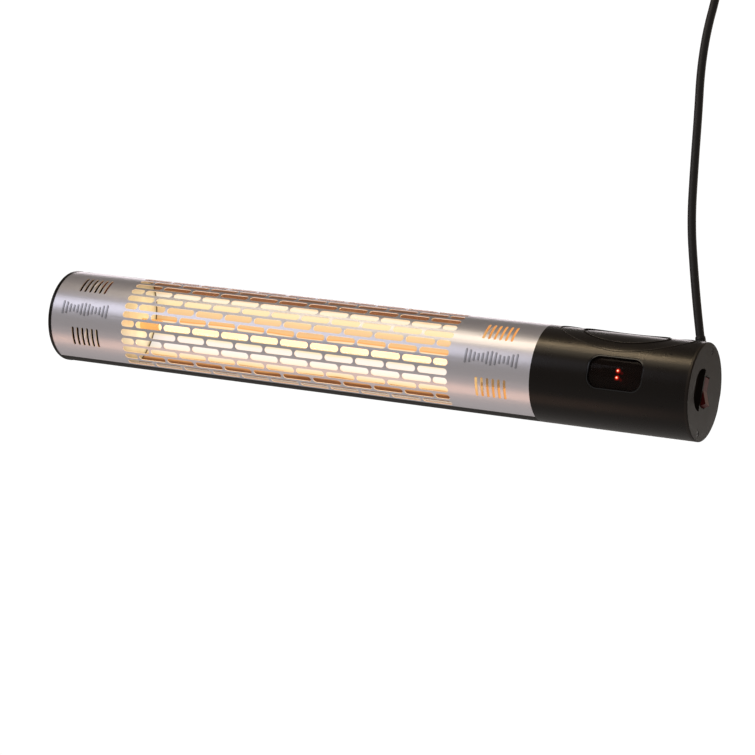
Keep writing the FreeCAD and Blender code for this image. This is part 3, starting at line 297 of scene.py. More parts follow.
def brushed_steel(name, dark, light, slot_glow=False):
    material, tree, shader = start_material(name, light, 0.3, 1.0)
    scratches = grain(tree, object_coordinates(tree, (1, 70, 70)), 55, 6)
    spread(tree, scratches, 0.3, 0.42, shader.inputs["Roughness"])
    tint(tree, scratches, dark, light, shader.inputs["Base Color"])
    bump(tree, shader, scratches, 0.05, 0.0001)
    if slot_glow:
        distance, split = axis_distance(tree)
        outer = TUBE_RADIUS - SKIN_DEPTH
        edge = map_range(tree, distance, outer, outer - SKIN_DEPTH)
        lit = times(tree, edge, near_lamp(tree, split))
        height = map_range(tree, split.outputs["Z"], -TUBE_RADIUS, TUBE_RADIUS, place=(-700, -1000))
        warmth = colour_ramp(tree, height, EDGE_COLOURS)
        glow(tree, shader, scaled_colour(tree, warmth, lit), 1.0)
    return material


EDGE_COLOURS = [
    (0.0, (0.75, 0.42, 0.22)),
    (0.12, (0.85, 0.5, 0.2)),
    (0.3, (0.9, 0.68, 0.44)),
    (0.6, (0.85, 0.63, 0.4)),
    (0.82, (0.6, 0.38, 0.2)),
    (0.92, (0.3, 0.12, 0.05)),
    (1.0, (0.22, 0.09, 0.05)),
]
steel = brushed_steel("brushed_stainless", (0.7, 0.685, 0.73), (0.8, 0.78, 0.82), slot_glow=True)
# The ribs get a darker copy of the same stainless: painted shade that stands for the dark walls of
# pressed marks.
shaded_rib_steel = brushed_steel("stainless_painted_shade", (0.36, 0.36, 0.39), (0.46, 0.46, 0.49))
give(steel, "front_grille")
print("steel skin ends at radius", round(TUBE_RADIUS - SKIN_DEPTH, 5))

# %% [markdown]
# The rear shell is powder coated: a thick satin film with a fine orange peel, so a small round
# noise drives its relief and roughness. Its inner face carries painted lamp light, a glow set in
# its colour: dark red at the left end and orange beside the hot end of the lamp, which shows
# through the vents. The inner face is told from the outer one by its distance from the axis, and on
# the flat back by its depth. Zinc, tin and the blackened screws are metals with a mottled spangle.

# %% Black powder coat and zinc


def powder_coat():
    material, tree, shader = start_material("black_powder_coat", (0.0125, 0.0105, 0.0095), 0.65)
    shader.inputs["Specular IOR Level"].default_value = 0.22
    peel = grain(tree, object_coordinates(tree), 900, 3)
    spread(tree, peel, 0.46, 0.6, shader.inputs["Roughness"])
    bump(tree, shader, peel, 0.15, 0.0001)
    distance, split = axis_distance(tree)
    round_wall = map_range(tree, distance, TUBE_RADIUS - SHELL_WALL / 2, TUBE_RADIUS - SHELL_WALL)
    flat_wall = map_range(tree, split.outputs["Y"], -SHELL_WALL / 2, -SHELL_WALL, place=(-500, -700))
    inside = times(tree, round_wall, flat_wall)
    along = map_range(tree, split.outputs["X"], STEEL_LEFT, STEEL_RIGHT, place=(-700, -800))
    # Painted lamp light: the inner face glows dark red to orange along the tube.
    painted_lamp_light = colour_ramp(tree, along, SHELL_PAINTED_LAMP_LIGHT)
    glow(tree, shader, scaled_colour(tree, painted_lamp_light, inside), 1.0)
    return material


SHELL_WALL = 1.0 * MM
# Colours of the painted lamp light on the shell's inner face, from left to right.
SHELL_PAINTED_LAMP_LIGHT = [
    (0.0, (0.05, 0.008, 0.004)),
    (0.12, (0.1, 0.016, 0.006)),
    (0.3, (0.35, 0.1, 0.03)),
    (0.8, (0.5, 0.16, 0.04)),
    (0.88, (0.9, 0.4, 0.12)),
    (1.0, (0.75, 0.25, 0.08)),
]


def plated(name, dark, light, smooth, rough):
    """Metal plating with a mottled spangle."""
    material, tree, shader = start_material(name, light, smooth, 1.0)
    spangle = grain(tree, object_coordinates(tree), 260, 5)
    spread(tree, spangle, smooth, rough, shader.inputs["Roughness"])
    tint(tree, spangle, dark, light, shader.inputs["Base Color"])
    return material


coat = powder_coat()
zinc = plated("zinc_plate", (0.42, 0.42, 0.44), (0.62, 0.62, 0.64), 0.3, 0.5)
tin = plated("tin_plate", (0.6, 0.6, 0.58), (0.75, 0.74, 0.72), 0.25, 0.4)
blackened = plated("blackened_screw", (0.02, 0.02, 0.022), (0.06, 0.058, 0.06), 0.25, 0.45)
give(coat, "rear_shell")
give(zinc, "upper_rail", "lower_rail", "mount_plate", "mount_nuts")
give(tin, "thermal_cutout", "board_screws", "switch_terminals")
give(blackened, "cap_screws", "housing_screws")

# %% [markdown]
# The control housing and the caps are moulded black plastic with a satin skin. The mould leaves a
# very fine texture, so the relief is small and the roughness varies gently over a few centimetres
# as well, the way handled plastic does.

# %% Moulded black plastic


def moulded_black(name, colour, smooth, rough):
    material, tree, shader = start_material(name, colour, smooth)
    vector = object_coordinates(tree)
    skin = grain(tree, vector, 1500, 2)
    wear = grain(tree, vector, 45, 3, (-700, 300))
    spread(tree, wear, smooth, rough, shader.inputs["Roughness"])
    tint(tree, wear, colour, tuple(1.35 * part for part in colour), shader.inputs["Base Color"])
    bump(tree, shader, skin, 0.1, 0.00006)
    shader.inputs["Specular IOR Level"].default_value = 0.23
    return material


plastic = moulded_black("moulded_black", (0.006, 0.0042, 0.003), 0.24, 0.32)
cap_plastic = moulded_black("cap_black", (0.013, 0.0095, 0.007), 0.4, 0.5)
give(plastic, "control_housing", "left_cap", "cord_grip", "ceiling_cup", "cord_bushing")
give(cap_plastic, "right_cap", "switch_body")

# %% [markdown]
# The window bezel and the receiver behind the window are polished black. The lens is a smoked
# acrylic: light passes dimmed, so the two status lights show through while the board behind stays
# dark.

# %% Gloss black and smoked lens


def gloss_black():
    material, tree, shader = start_material("gloss_black", (0.008, 0.008, 0.009), 0.15)
    swirl = grain(tree, object_coordinates(tree), 120, 3)
    spread(tree, swirl, 0.1, 0.22, shader.inputs["Roughness"])
    return material


def smoked_acrylic():
    material, tree, shader = start_material("smoked_acrylic", (0.1, 0.07, 0.06), 0.05)
    shader.inputs["Transmission Weight"].default_value = 0.9
    shader.inputs["IOR"].default_value = 1.14
    haze = grain(tree, object_coordinates(tree), 80, 2)
    spread(tree, haze, 0.03, 0.07, shader.inputs["Roughness"])
    return material


gloss = gloss_black()
smoked = smoked_acrylic()
give(gloss, "window_bezel", "ir_receiver")
give(smoked, "window_lens")

# %% [markdown]
# The rocker is a red translucent moulding with a satin face. A little subsurface light keeps the
# red deep instead of chalky.

# %% Red rocker


def red_rocker():
    material, tree, shader = start_material("red_rocker", (0.08, 0.009, 0.008), 0.3)
    skin = grain(tree, object_coordinates(tree), 900, 2)
    cloud = grain(tree, object_coordinates(tree), 90, 2, (-700, 300))
    spread(tree, skin, 0.28, 0.4, shader.inputs["Roughness"])
    tint(tree, cloud, (0.07, 0.004, 0.004), (0.12, 0.008, 0.007), shader.inputs["Base Color"])
    shader.inputs["Subsurface Weight"].default_value = 0.15
    shader.inputs["Subsurface Radius"].default_value = (0.002, 0.0005, 0.0004)
    shader.inputs["Specular IOR Level"].default_value = 0.2
    return material


give(red_rocker(), "power_rocker")

# %% [markdown]
# Behind the slots a polished trough throws the lamp's light forward. Seen from the front it shows
# bands: the lamp's own reflections are nearly white, the stretches between them are golden, and
# the lips near the tube's wall fall off to copper brown. The bands follow the trough's height, so
# a ramp over Z paints them as a glow, and a long soft grain along X keeps them from looking drawn.
# A dark line of painted shade at the left end, where the glow fades out, stands for the gap
# between the trough and its end plate.

# %% Polished trough with its bands of light
TROUGH_LOW, TROUGH_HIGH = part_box("reflector")
BAND_WAVER = 0.03
END_GAP = (1.0 * MM, 2.2 * MM)
GAP_LIGHT = 0.02
TROUGH_BANDS = [
    (0.0, (0.04, 0.012, 0.006)),
    (0.12, (0.14, 0.04, 0.015)),
    (0.15, (0.7, 0.32, 0.1)),
    (0.175, (0.5, 0.19, 0.05)),
    (0.19, (0.95, 0.7, 0.36)),
    (0.25, (0.97, 0.87, 0.68)),
    (0.34, (0.96, 0.92, 0.86)),
    (0.42, (0.93, 0.87, 0.8)),
    (0.46, (0.95, 0.77, 0.42)),
    (0.5, (0.92, 0.64, 0.24)),
    (0.58, (0.94, 0.68, 0.32)),
    (0.605, (0.96, 0.8, 0.55)),
    (0.618, (0.86, 0.34, 0.08)),
    (0.632, (0.88, 0.52, 0.22)),
    (0.68, (0.82, 0.52, 0.27)),
    (0.75, (0.9, 0.62, 0.32)),
    (0.79, (0.97, 0.78, 0.42)),
    (0.85, (0.97, 0.83, 0.52)),
    (0.9, (0.97, 0.88, 0.7)),
    (0.925, (0.9, 0.65, 0.36)),
    (0.94, (0.2, 0.07, 0.03)),
    (1.0, (0.07, 0.022, 0.012)),
]


def polished_trough():
    material, tree, shader = start_material("polished_trough", (0.1, 0.07, 0.045), 0.3, 1.0)
    split = split_coordinates(tree)
    ripple = grain(tree, object_coordinates(tree, (0.35, 1.5, 1.5)), 40, 2)
    waver = map_range(tree, ripple, 0.0, 1.0, -BAND_WAVER, BAND_WAVER, (-700, -700))
    height = map_range(tree, split.outputs["Z"], TROUGH_LOW.z, TROUGH_HIGH.z, place=(-900, -500))
    wavy = add_node(tree, "ShaderNodeMath", (-500, -600), operation="ADD")
    tree.links.new(height, wavy.inputs[0])
    tree.links.new(waver, wavy.inputs[1])
    bands = colour_ramp(tree, wavy.outputs[0], TROUGH_BANDS)
    # Painted shade: the glow falls almost to nothing over the trough's last millimetres at the left end.
    gap_low, gap_high = (TROUGH_LOW.x + edge for edge in END_GAP)
    end_gap = map_range(tree, split.outputs["X"], gap_low, gap_high, GAP_LIGHT, 1.0, (-500, -900))
    lit = times(tree, near_lamp(tree, split), end_gap)
    glow(tree, shader, scaled_colour(tree, bands, lit), 1.0)
    spread(tree, ripple, 0.24, 0.36, shader.inputs["Roughness"])
    return material


give(polished_trough(), "reflector")

# %% [markdown]
# The end plates and baffles are plain bright sheet. They stand close to the lamp, so they carry
# painted lamp light: a warm glow that is strongest beside it and fades towards the tube's wall,
# mottled by the same noise that varies their gloss.

# %% Plain sheet near the lamp


def sheet_with_painted_glow(name, glow_colour, strength):
    material, tree, shader = start_material(name, (0.55, 0.5, 0.45), 0.35, 1.0)
    stain_and_glow_noise = grain(tree, object_coordinates(tree), 70, 4)
    spread(tree, stain_and_glow_noise, 0.28, 0.45, shader.inputs["Roughness"])
    distance = axis_distance(tree)[0]
    nearness = map_range(tree, distance, 0.0, TUBE_RADIUS, 1.0, 0.25)
    dimmer = tuple(0.7 * part for part in glow_colour)
    colour = colour_ramp(tree, stain_and_glow_noise, [(0.3, dimmer), (0.7, glow_colour)])
    # Painted lamp light: a glow in the sheet's colour, strongest near the axis.
    glow(tree, shader, scaled_colour(tree, colour, nearness), strength)
    return material


give(sheet_with_painted_glow("lamp_end_plate_glow_painted", (1.0, 0.8, 0.42), 0.95), "end_plate_left")
give(sheet_with_painted_glow("hot_end_plate_glow_painted", (1.0, 0.68, 0.28), 1.1), "end_plate_right")
give(sheet_with_painted_glow("baffle_glow_painted", (0.5, 0.12, 0.04), 0.3), "rear_baffle", "heat_shield")

# %% [markdown]
# The lamp is a quartz tube with a coiled filament. The quartz is clear but glows golden with the
# coil's light. The ceramic sockets are off white and chalky. The lamp's bases are an orange copy of
# the same ceramic with painted lamp light, a glow set in them. The parts of the control board are
# small mottled finishes.

# %% Quartz, ceramic and small inner finishes


def quartz():
    material, tree, shader = start_material("quartz_glow", (1.0, 0.92, 0.78), 0.08)
    shader.inputs["Transmission Weight"].default_value = 0.7
    shader.inputs["IOR"].default_value = 1.46
    streak = grain(tree, object_coordinates(tree, (0.6, 4, 4)), 60, 3)
    colour = colour_ramp(tree, streak, [(0.3, (0.95, 0.55, 0.34)), (0.7, (0.95, 0.7, 0.56))])
    glow(tree, shader, colour, 0.4)
    return material


def incandescent():
    material, tree, shader = start_material("incandescent_wire", (0.9, 0.5, 0.2), 0.5)
    flicker = grain(tree, object_coordinates(tree), 120, 2)
    colour = colour_ramp(tree, flicker, [(0.25, (1.0, 0.48, 0.14)), (0.75, (1.0, 0.68, 0.32))])
    glow(tree, shader, colour, 1.0)
    return material


def mottled(name, dark, light, smooth, rough, scale, relief=0.1, metallic=0.0):
    """A plain finish whose colour and gloss drift a little over the piece."""
    material, tree, shader = start_material(name, light, smooth, metallic)
    drift = grain(tree, object_coordinates(tree), scale, 4)
    spread(tree, drift, smooth, rough, shader.inputs["Roughness"])
    tint(tree, drift, dark, light, shader.inputs["Base Color"])
    bump(tree, shader, drift, relief, 0.0001)
    return material


glow_wire = incandescent()
quartz_glow = quartz()
ceramic = mottled("steatite", (0.62, 0.55, 0.42), (0.8, 0.76, 0.66), 0.55, 0.75, 400)
# The lamp's bases: the ceramic in orange with an orange glow, which is painted lamp light.
lamp_lit_ceramic = mottled("steatite_glow_painted", (0.7, 0.45, 0.2), (0.85, 0.6, 0.3), 0.55, 0.75, 400)
lamp_lit_ceramic_shader = lamp_lit_ceramic.node_tree.nodes["Principled BSDF"]
lamp_lit_ceramic_shader.inputs["Emission Color"].default_value = (1.0, 0.42, 0.1, 1)
lamp_lit_ceramic_shader.inputs["Emission Strength"].default_value = 0.5
sleeve = mottled("glass_sleeve", (0.6, 0.55, 0.45), (0.78, 0.74, 0.62), 0.5, 0.7, 1200, 0.3)
board = mottled("board_green", (0.01, 0.06, 0.025), (0.02, 0.11, 0.05), 0.3, 0.5, 300)
blue_part = mottled("relay_blue", (0.01, 0.04, 0.22), (0.02, 0.07, 0.32), 0.3, 0.42, 200)
component = mottled("component_black", (0.012, 0.012, 0.014), (0.03, 0.03, 0.034), 0.35, 0.55, 300)
wire_blue = mottled("wire_blue", (0.01, 0.05, 0.28), (0.02, 0.08, 0.4), 0.35, 0.5, 500)
give(quartz_glow, "lamp_tube")
give(glow_wire, "filament")
give(lamp_lit_ceramic, "lamp_base_left", "lamp_base_right")
give(ceramic, "lamp_holder_left", "lamp_holder_right")
give(sleeve, "lamp_lead_left", "lamp_lead_right")
give(board, "control_board")
give(blue_part, "relay")
give(component, "transformer", "capacitor", "terminal_block")
give(wire_blue, "switch_lead")

# %% [markdown]
# The status lights are small red lamps. Their tips are so bright that they read almost white, and
# the body behind the tip is saturated red, then dark. The depth behind the tip gives that falloff.

# %% Status lights


def status_red():
    material, tree, shader = start_material("status_red", (0.8, 0.03, 0.02), 0.2)
    split = split_coordinates(tree, (-700, 0))
    depth = map_range(tree, split.outputs["Y"], LED_LOW.y, LED_LOW.y + LED_GLOW_DEPTH, place=(-500, 0))
    colour = colour_ramp(tree, depth, LED_COLOURS)
    glow(tree, shader, colour, LED_BRIGHTNESS)
    return material


LED_LOW, LED_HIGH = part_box("status_leds")
LED_GLOW_DEPTH = 1.4 * MM
LED_BRIGHTNESS = 45.0
LED_COLOURS = [
    (0.0, (1.0, 0.5, 0.36)),
    (0.35, (0.5, 0.02, 0.01)),
    (1.0, (0.01, 0.0, 0.0)),
]
give(status_red(), "status_leds")

# %% [markdown]
# The cord is a round rubber cord with a slightly dusty, satin sheath.

# %% Rubber sheath
sheath = mottled("rubber_sheath", (0.008, 0.007, 0.007), (0.016, 0.014, 0.014), 0.4, 0.58, 350, 0.2)
give(sheath, "inner_cord", "strain_relief", "supply_cord")

# %% [markdown]
# The supply cord is a heavy rubber cord that hangs from a ceiling fitting. Its route repeats the
# model's points as pairs of X and Z, all in one plane, and a NURBS spline makes one smooth line
# of them.

# %% Supply cord
CORD_DIAMETER = 9.6 * MM
CORD_Y = -14 * MM
CORD_ROUTE = [
    (382.3, 46.2),
    (370.2, 85.8),
    (356.2, 136.5),
    (342.0, 193.5),
    (334.0, 258.0),
    (327.6, 318.0),
    (321.2, 369.0),
    (320.0, 415.0),
    (323.6, 455.0),
    (324.4, 489.0),
]


def make_cord():
    curve = bpy.data.curves.new("cord", "CURVE")
    curve.dimensions = "3D"
    curve.bevel_depth = CORD_DIAMETER / 2
    curve.bevel_resolution = 6
    curve.use_fill_caps = True
    spline = curve.splines.new("NURBS")
    spline.points.add(len(CORD_ROUTE) - 1)
    for point, (x, z) in zip(spline.points, CORD_ROUTE):
        point.co = (x * MM, CORD_Y, z * MM, 1)
    spline.order_u = 3
    spline.use_endpoint_u = True
    spline.resolution_u = 12
    cord = bpy.data.objects.new("cord", curve)
    bpy.context.scene.collection.objects.link(cord)
    curve.materials.append(sheath)
    return cord


cord = make_cord()
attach(cord, BODY)
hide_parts("supply_cord")

# %% [markdown]
# The strain relief is a soft moulded boot. It tapers from the boss to the cord and has rings cut
# into it, so that it bends with the cord instead of kinking it. A profile of radius against height
# is spun once round, and the finished boot is leaned over to the boss's angle.

# %% Strain relief boot
BOOT_ROOT = Vector((CORD_ROUTE[0][0] * MM, CORD_Y, CORD_ROUTE[0][1] * MM))
BOOT_LEAN = math.radians(-17)
BOOT_LENGTH = 22 * MM
BOOT_ROOT_RADIUS = 7.6 * MM
BOOT_TIP_RADIUS = 5.5 * MM
BOOT_RINGS = 5
FIRST_RING = 0.16 * BOOT_LENGTH
RING_WIDTH = 0.72 * BOOT_LENGTH / (2 * BOOT_RINGS)
RING_DEPTH = 0.7 * MM
GROOVE_EDGE = 0.12


def link_piece(name, mesh, *materials):
    """Make an object of a mesh, give it its materials and put it in the scene."""
    piece = bpy.data.objects.new(name, mesh)
    bpy.context.scene.collection.objects.link(piece)
    for material in materials:
        mesh.materials.append(material)
    return piece


def mesh_from(work, name, smooth=True):
    """Write a bmesh to a mesh with outward faces."""
    bmesh.ops.remove_doubles(work, verts=work.verts, dist=1e-6)
    bmesh.ops.recalc_face_normals(work, faces=work.faces)
    for face in work.faces:
        face.smooth = smooth
    mesh = bpy.data.meshes.new(name)
    work.to_mesh(mesh)
    work.free()
    return mesh


def spun_profile(profile, steps=48):
    """Spin (radius, height) points about Z; ends on the axis close the shape."""
    work = bmesh.new()
    verts = [work.verts.new((radius, 0, height)) for radius, height in profile]
    edges = [work.edges.new(pair) for pair in zip(verts, verts[1:])]
    bmesh.ops.spin(work, geom=verts + edges, cent=(0, 0, 0), axis=(0, 0, 1), dvec=(0, 0, 0),
                   angle=math.tau, steps=steps, use_merge=True)
    return work


def boot_profile():
    """Root to tip with square ring grooves, closed on the cord's axis."""
    points = [(0, 0), (BOOT_ROOT_RADIUS, 0)]
    for turn in range(BOOT_RINGS):
        for part, sunk in ((0, False), (GROOVE_EDGE, True), (1 - GROOVE_EDGE, True), (1, False)):
            height = FIRST_RING + RING_WIDTH * (2 * turn + part)
            taper = BOOT_ROOT_RADIUS + (BOOT_TIP_RADIUS - BOOT_ROOT_RADIUS) * height / BOOT_LENGTH
            points.append((taper - (RING_DEPTH if sunk else 0), height))
    points.append((BOOT_TIP_RADIUS, BOOT_LENGTH - 0.6 * MM))
    points.append((BOOT_TIP_RADIUS - 0.5 * MM, BOOT_LENGTH))
    points.append((0, BOOT_LENGTH))
    return points


def make_boot():
    work = spun_profile(boot_profile())
    bmesh.ops.rotate(work, cent=(0, 0, 0), matrix=Matrix.Rotation(BOOT_LEAN, 3, "Y"), verts=work.verts)
    bmesh.ops.translate(work, vec=BOOT_ROOT, verts=work.verts)
    boot = link_piece("cord_boot", mesh_from(work, "cord_boot", smooth=False), sheath)
    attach(boot, BODY)
    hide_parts("strain_relief")
    return boot


boot = make_boot()
print("boot faces:", len(boot.data.polygons))

# %% [markdown]
# The filament is a coil of resistance wire. One small ring of points is spun round the lamp's axis
# while it is pushed along it, which draws the whole helix in a single operation.

# %% Coiled filament
WIRE_RADIUS = 0.32 * MM
COIL_PITCH = 1.9 * MM
COIL_STEPS = 10


def make_filament():
    coil_radius = (WIRE_HIGH.z - WIRE_LOW.z) / 2 - WIRE_RADIUS
    turns = int((WIRE_HIGH.x - WIRE_LOW.x - 2 * WIRE_RADIUS) / COIL_PITCH)
    work = bmesh.new()
    ring = bmesh.ops.create_circle(work, radius=WIRE_RADIUS, segments=6, cap_ends=False)["verts"]
    bmesh.ops.translate(work, vec=(coil_radius, 0, 0), verts=ring)
    edges = list(work.edges)
    bmesh.ops.rotate(work, cent=(0, 0, 0), matrix=Matrix.Rotation(math.radians(90), 3, "Y"), verts=ring)
    bmesh.ops.spin(work, geom=ring + edges, cent=(0, 0, 0), axis=(1, 0, 0),
                   dvec=(COIL_PITCH / COIL_STEPS, 0, 0), angle=math.tau * turns,
                   steps=COIL_STEPS * turns)
    bmesh.ops.holes_fill(work, edges=[edge for edge in work.edges if edge.is_boundary], sides=6)
    start = (WIRE_LOW + WIRE_HIGH) / 2
    start.x = WIRE_LOW.x + WIRE_RADIUS
    bmesh.ops.translate(work, vec=start, verts=work.verts)
    coil = link_piece("filament_coil", mesh_from(work, "filament_coil"), glow_wire)
    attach(coil, BODY)
    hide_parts("filament")
    print("filament turns:", turns)


make_filament()

# %% [markdown]
# Both plain ends of the steel carry a small pressed ornament: a row of upright ribs whose heights
# rise and fall like a wave of warm air. Each rib starts flat as one rounded face, is cut across so
# that it can follow the bend, and is then wrapped on the tube by turning its second coordinate
# into an angle.

# %% Pressed ornament on the steel
RIB_COUNT = 13
RIB_PITCH = 5.1 * MM
RIB_WIDTH = 2.2 * MM
RIB_RISE = 0.6 * MM
RIB_SINK = 0.2 * MM
RIB_MIDDLE_HEIGHT = 12.5 * MM
RIB_WAVE = 4 * MM
RIB_SLICES = 8
ORNAMENT_MIDDLES = {"left": STEEL_LEFT + 46 * MM, "right": STEEL_RIGHT - 47.5 * MM}


def wrap_on_tube(work, radius):
    """Bend flat (x, arc, rise) points on to the tube's front."""
    for vert in work.verts:
        angle = vert.co.y / radius
        reach = radius + vert.co.z
        vert.co = Vector((vert.co.x, AXIS_Y - reach * math.cos(angle), reach * math.sin(angle)))


def slice_for_bend(work, reach, count):
    """Cut across, so that flat faces can follow the bend."""
    for step in range(1, count):
        place = -reach + 2 * reach * step / count
        geometry = list(work.verts) + list(work.edges) + list(work.faces)
        bmesh.ops.bisect_plane(work, geom=geometry, plane_co=(0, place, 0), plane_no=(0, 1, 0))


def rib_shape(middle, width, height):
    """One wrapped rib with rounded ends and its own thickness."""
    work = bmesh.new()
    corners = bmesh.ops.create_grid(work, x_segments=1, y_segments=1, size=0.5)["verts"]
    bmesh.ops.scale(work, vec=(width, height, 1), verts=corners)
    bmesh.ops.translate(work, vec=(middle, 0, 0), verts=corners)
    bmesh.ops.bevel(work, geom=corners, offset=width / 2.02, segments=5, profile=0.5,
                    affect="VERTICES", material=-1)
    slice_for_bend(work, height / 2, RIB_SLICES)
    bmesh.ops.solidify(work, geom=list(work.faces), thickness=RIB_RISE + RIB_SINK)
    lowest = min(vert.co.z for vert in work.verts)
    bmesh.ops.translate(work, vec=(0, 0, -lowest - RIB_SINK), verts=work.verts)
    wrap_on_tube(work, TUBE_RADIUS)
    shape = bpy.data.meshes.new("rib")
    work.to_mesh(shape)
    work.free()
    return shape


def make_ornament(name, middle):
    joined = bmesh.new()
    for rib in range(RIB_COUNT):
        place = middle + (rib - (RIB_COUNT - 1) / 2) * RIB_PITCH
        height = RIB_MIDDLE_HEIGHT + RIB_WAVE * math.cos(math.tau * rib / 6)
        shape = rib_shape(place, RIB_WIDTH, height)
        joined.from_mesh(shape)
        bpy.data.meshes.remove(shape)
    # The ribs wear the darker stainless copy, which is painted shade.
    piece = link_piece(name, mesh_from(joined, name, smooth=False), shaded_rib_steel)
    edge = piece.modifiers.new("soft_edge", "BEVEL")
    edge.width = 0.18 * MM
    edge.segments = 2
    edge.angle_limit = math.radians(50)
    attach(piece, BODY)
    return piece


ornaments = [make_ornament("pressed_ribs_" + side, place) for side, place in ORNAMENT_MIDDLES.items()]
print("ornament faces:", [len(piece.data.polygons) for piece in ornaments])

# %% [markdown]
# Two fine beads run round the steps of the oval dish on top of the housing. A bead starts as a
# narrow ring between two ellipses seen from above. It is dropped on the round surface and given
# a little thickness.

# %% Beads round the oval dish
DISH_MIDDLE = Vector((314 * MM, -20 * MM))
DISH_HALVES = {"outer": (77 * MM, 27.7 * MM), "inner": (50 * MM, 19.7 * MM)}
BEAD_WIDTH = 0.8 * MM
BEAD_RISE = 0.45 * MM
BEAD_SINK = 0.5 * MM
BEAD_SEGMENTS = 128


def drop_on_tube(work, radius):
    """Lift flat points to the top of a round surface; their height counts outwards."""
    for vert in work.verts:
        across = vert.co.y
        rise = vert.co.z
        angle = math.asin(across / radius)
        reach = radius + rise
        vert.co = Vector((vert.co.x, AXIS_Y + reach * math.sin(angle), reach * math.cos(angle)))


def make_bead(name, half_length, half_width):
    work = bmesh.new()
    loops = []
    for offset in (-BEAD_WIDTH / 2, BEAD_WIDTH / 2):
        made = bmesh.ops.create_circle(work, radius=1, segments=BEAD_SEGMENTS)["verts"]
        bmesh.ops.scale(work, vec=(half_length + offset, half_width + offset, 1), verts=made)
        loops += [edge for edge in work.edges if edge.verts[0] in made]
    bmesh.ops.bridge_loops(work, edges=loops)
    bmesh.ops.recalc_face_normals(work, faces=work.faces)
    bmesh.ops.solidify(work, geom=list(work.faces), thickness=BEAD_RISE + BEAD_SINK)
    lowest = min(vert.co.z for vert in work.verts)
    shift = (DISH_MIDDLE.x, DISH_MIDDLE.y, -lowest - BEAD_SINK)
    bmesh.ops.translate(work, vec=shift, verts=work.verts)
    drop_on_tube(work, TUBE_RADIUS)
    # The bead wears the lighter plastic, which is a painted highlight.
    bead = link_piece(name, mesh_from(work, name, smooth=False), bead_highlight_plastic)
    edge = bead.modifiers.new("soft_edge", "BEVEL")
    edge.width = 0.12 * MM
    edge.segments = 2
    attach(bead, BODY)
    return bead


# The beads are a lighter copy of the black plastic: a painted highlight along the dish's edges.
bead_highlight_plastic = moulded_black("bead_painted_highlight", (0.03, 0.027, 0.024), 0.2, 0.28)
beads = [make_bead("dish_bead_" + which, *halves) for which, halves in DISH_HALVES.items()]
print("bead faces:", [len(piece.data.polygons) for piece in beads])

# %% [markdown]
# Each status light throws a soft red disc on the dark diffuser behind the lens. A small round
# plate with a glow that fades from its middle stands for that spill of light.

# %% Red spill round the status lights
SPILL_RADIUS = 3.5 * MM
SPILL_BEHIND_TIP = 1.6 * MM
SPILL_BRIGHTNESS = 6.0
SPILL_COLOURS = [
    (0.2, (1.0, 0.06, 0.03)),
    (0.34, (0.25, 0.008, 0.004)),
    (0.5, (0, 0, 0)),
]
LED_RADIUS = (LED_HIGH.x - LED_LOW.x) / 2


def spill_red():
    material, tree, shader = start_material("spill_red", (0.01, 0.004, 0.004), 0.6)
    texture = add_node(tree, "ShaderNodeUVMap", (-900, 0))
    away = add_node(tree, "ShaderNodeVectorMath", (-700, 0), operation="DISTANCE")
    away.inputs[1].default_value = (0.5, 0.5, 0)
    tree.links.new(texture.outputs["UV"], away.inputs[0])
    colour = colour_ramp(tree, away.outputs["Value"], SPILL_COLOURS)
    glow(tree, shader, colour, SPILL_BRIGHTNESS)
    return material


def make_spill(name, height):
    """A thin round plate facing the front, with a flat map of its face."""
    work = bmesh.new()
    rim = bmesh.ops.create_circle(work, radius=SPILL_RADIUS, segments=32, cap_ends=True)["verts"]
    flat = work.loops.layers.uv.new("face")
    for face in work.faces:
        for loop in face.loops:
            place = loop.vert.co / (2 * SPILL_RADIUS)
            loop[flat].uv = (place.x + 0.5, place.y + 0.5)
    bmesh.ops.rotate(work, cent=(0, 0, 0), matrix=Matrix.Rotation(math.radians(90), 3, "X"), verts=rim)
    place = Vector(((LED_LOW.x + LED_HIGH.x) / 2, LED_LOW.y + SPILL_BEHIND_TIP, height))
    bmesh.ops.translate(work, vec=place, verts=work.verts)
    bmesh.ops.solidify(work, geom=list(work.faces), thickness=0.2 * MM)
    piece = link_piece(name, mesh_from(work, name), spill)
    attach(piece, BODY)


spill = spill_red()
LED_HEIGHTS = {"upper": LED_HIGH.z - LED_RADIUS, "lower": LED_LOW.z + LED_RADIUS}
for which, height in LED_HEIGHTS.items():
    make_spill("led_spill_" + which, height)
print("status light radius:", round(LED_RADIUS, 5))

# %% [markdown]
# The heater hangs high over a pale floor. The world seen directly is plain white, and so is the
# floor. What they give to reflections is dimmer and a little warm, so that the steel and the gloss
# black keep their contrast.

# %% Floor and world
FLOOR_HEIGHT = -1.6
FLOOR_SIZE = 300
WHITE_SEEN = 1.05
WORLD_FILL = 0.21
FLOOR_SEEN = 0.87
FLOOR_FILL = 0.15
WORLD_WARMTH = (1.0, 0.9, 0.82)


def seen_or_lit(tree, seen, lit, socket):
    """One value for what the camera sees directly and another for light and reflections."""
    path = add_node(tree, "ShaderNodeLightPath", (-600, 0))
    level = map_range(tree, path.outputs["Is Camera Ray"], 0.0, 1.0, lit, seen, (-400, 0))
    tree.links.new(level, socket)
    return path.outputs["Is Camera Ray"]


def make_floor():
    work = bmesh.new()
    bmesh.ops.create_grid(work, x_segments=1, y_segments=1, size=FLOOR_SIZE)
    bmesh.ops.translate(work, vec=(0, 0, FLOOR_HEIGHT), verts=work.verts)
    material, tree, shader = start_material("pale_floor", (0.82, 0.82, 0.82), 0.9)
    shader.inputs["Emission Color"].default_value = (1, 1, 1, 1)
    seen_or_lit(tree, FLOOR_SEEN, FLOOR_FILL, shader.inputs["Emission Strength"])
    link_piece("floor", mesh_from(work, "floor"), material)


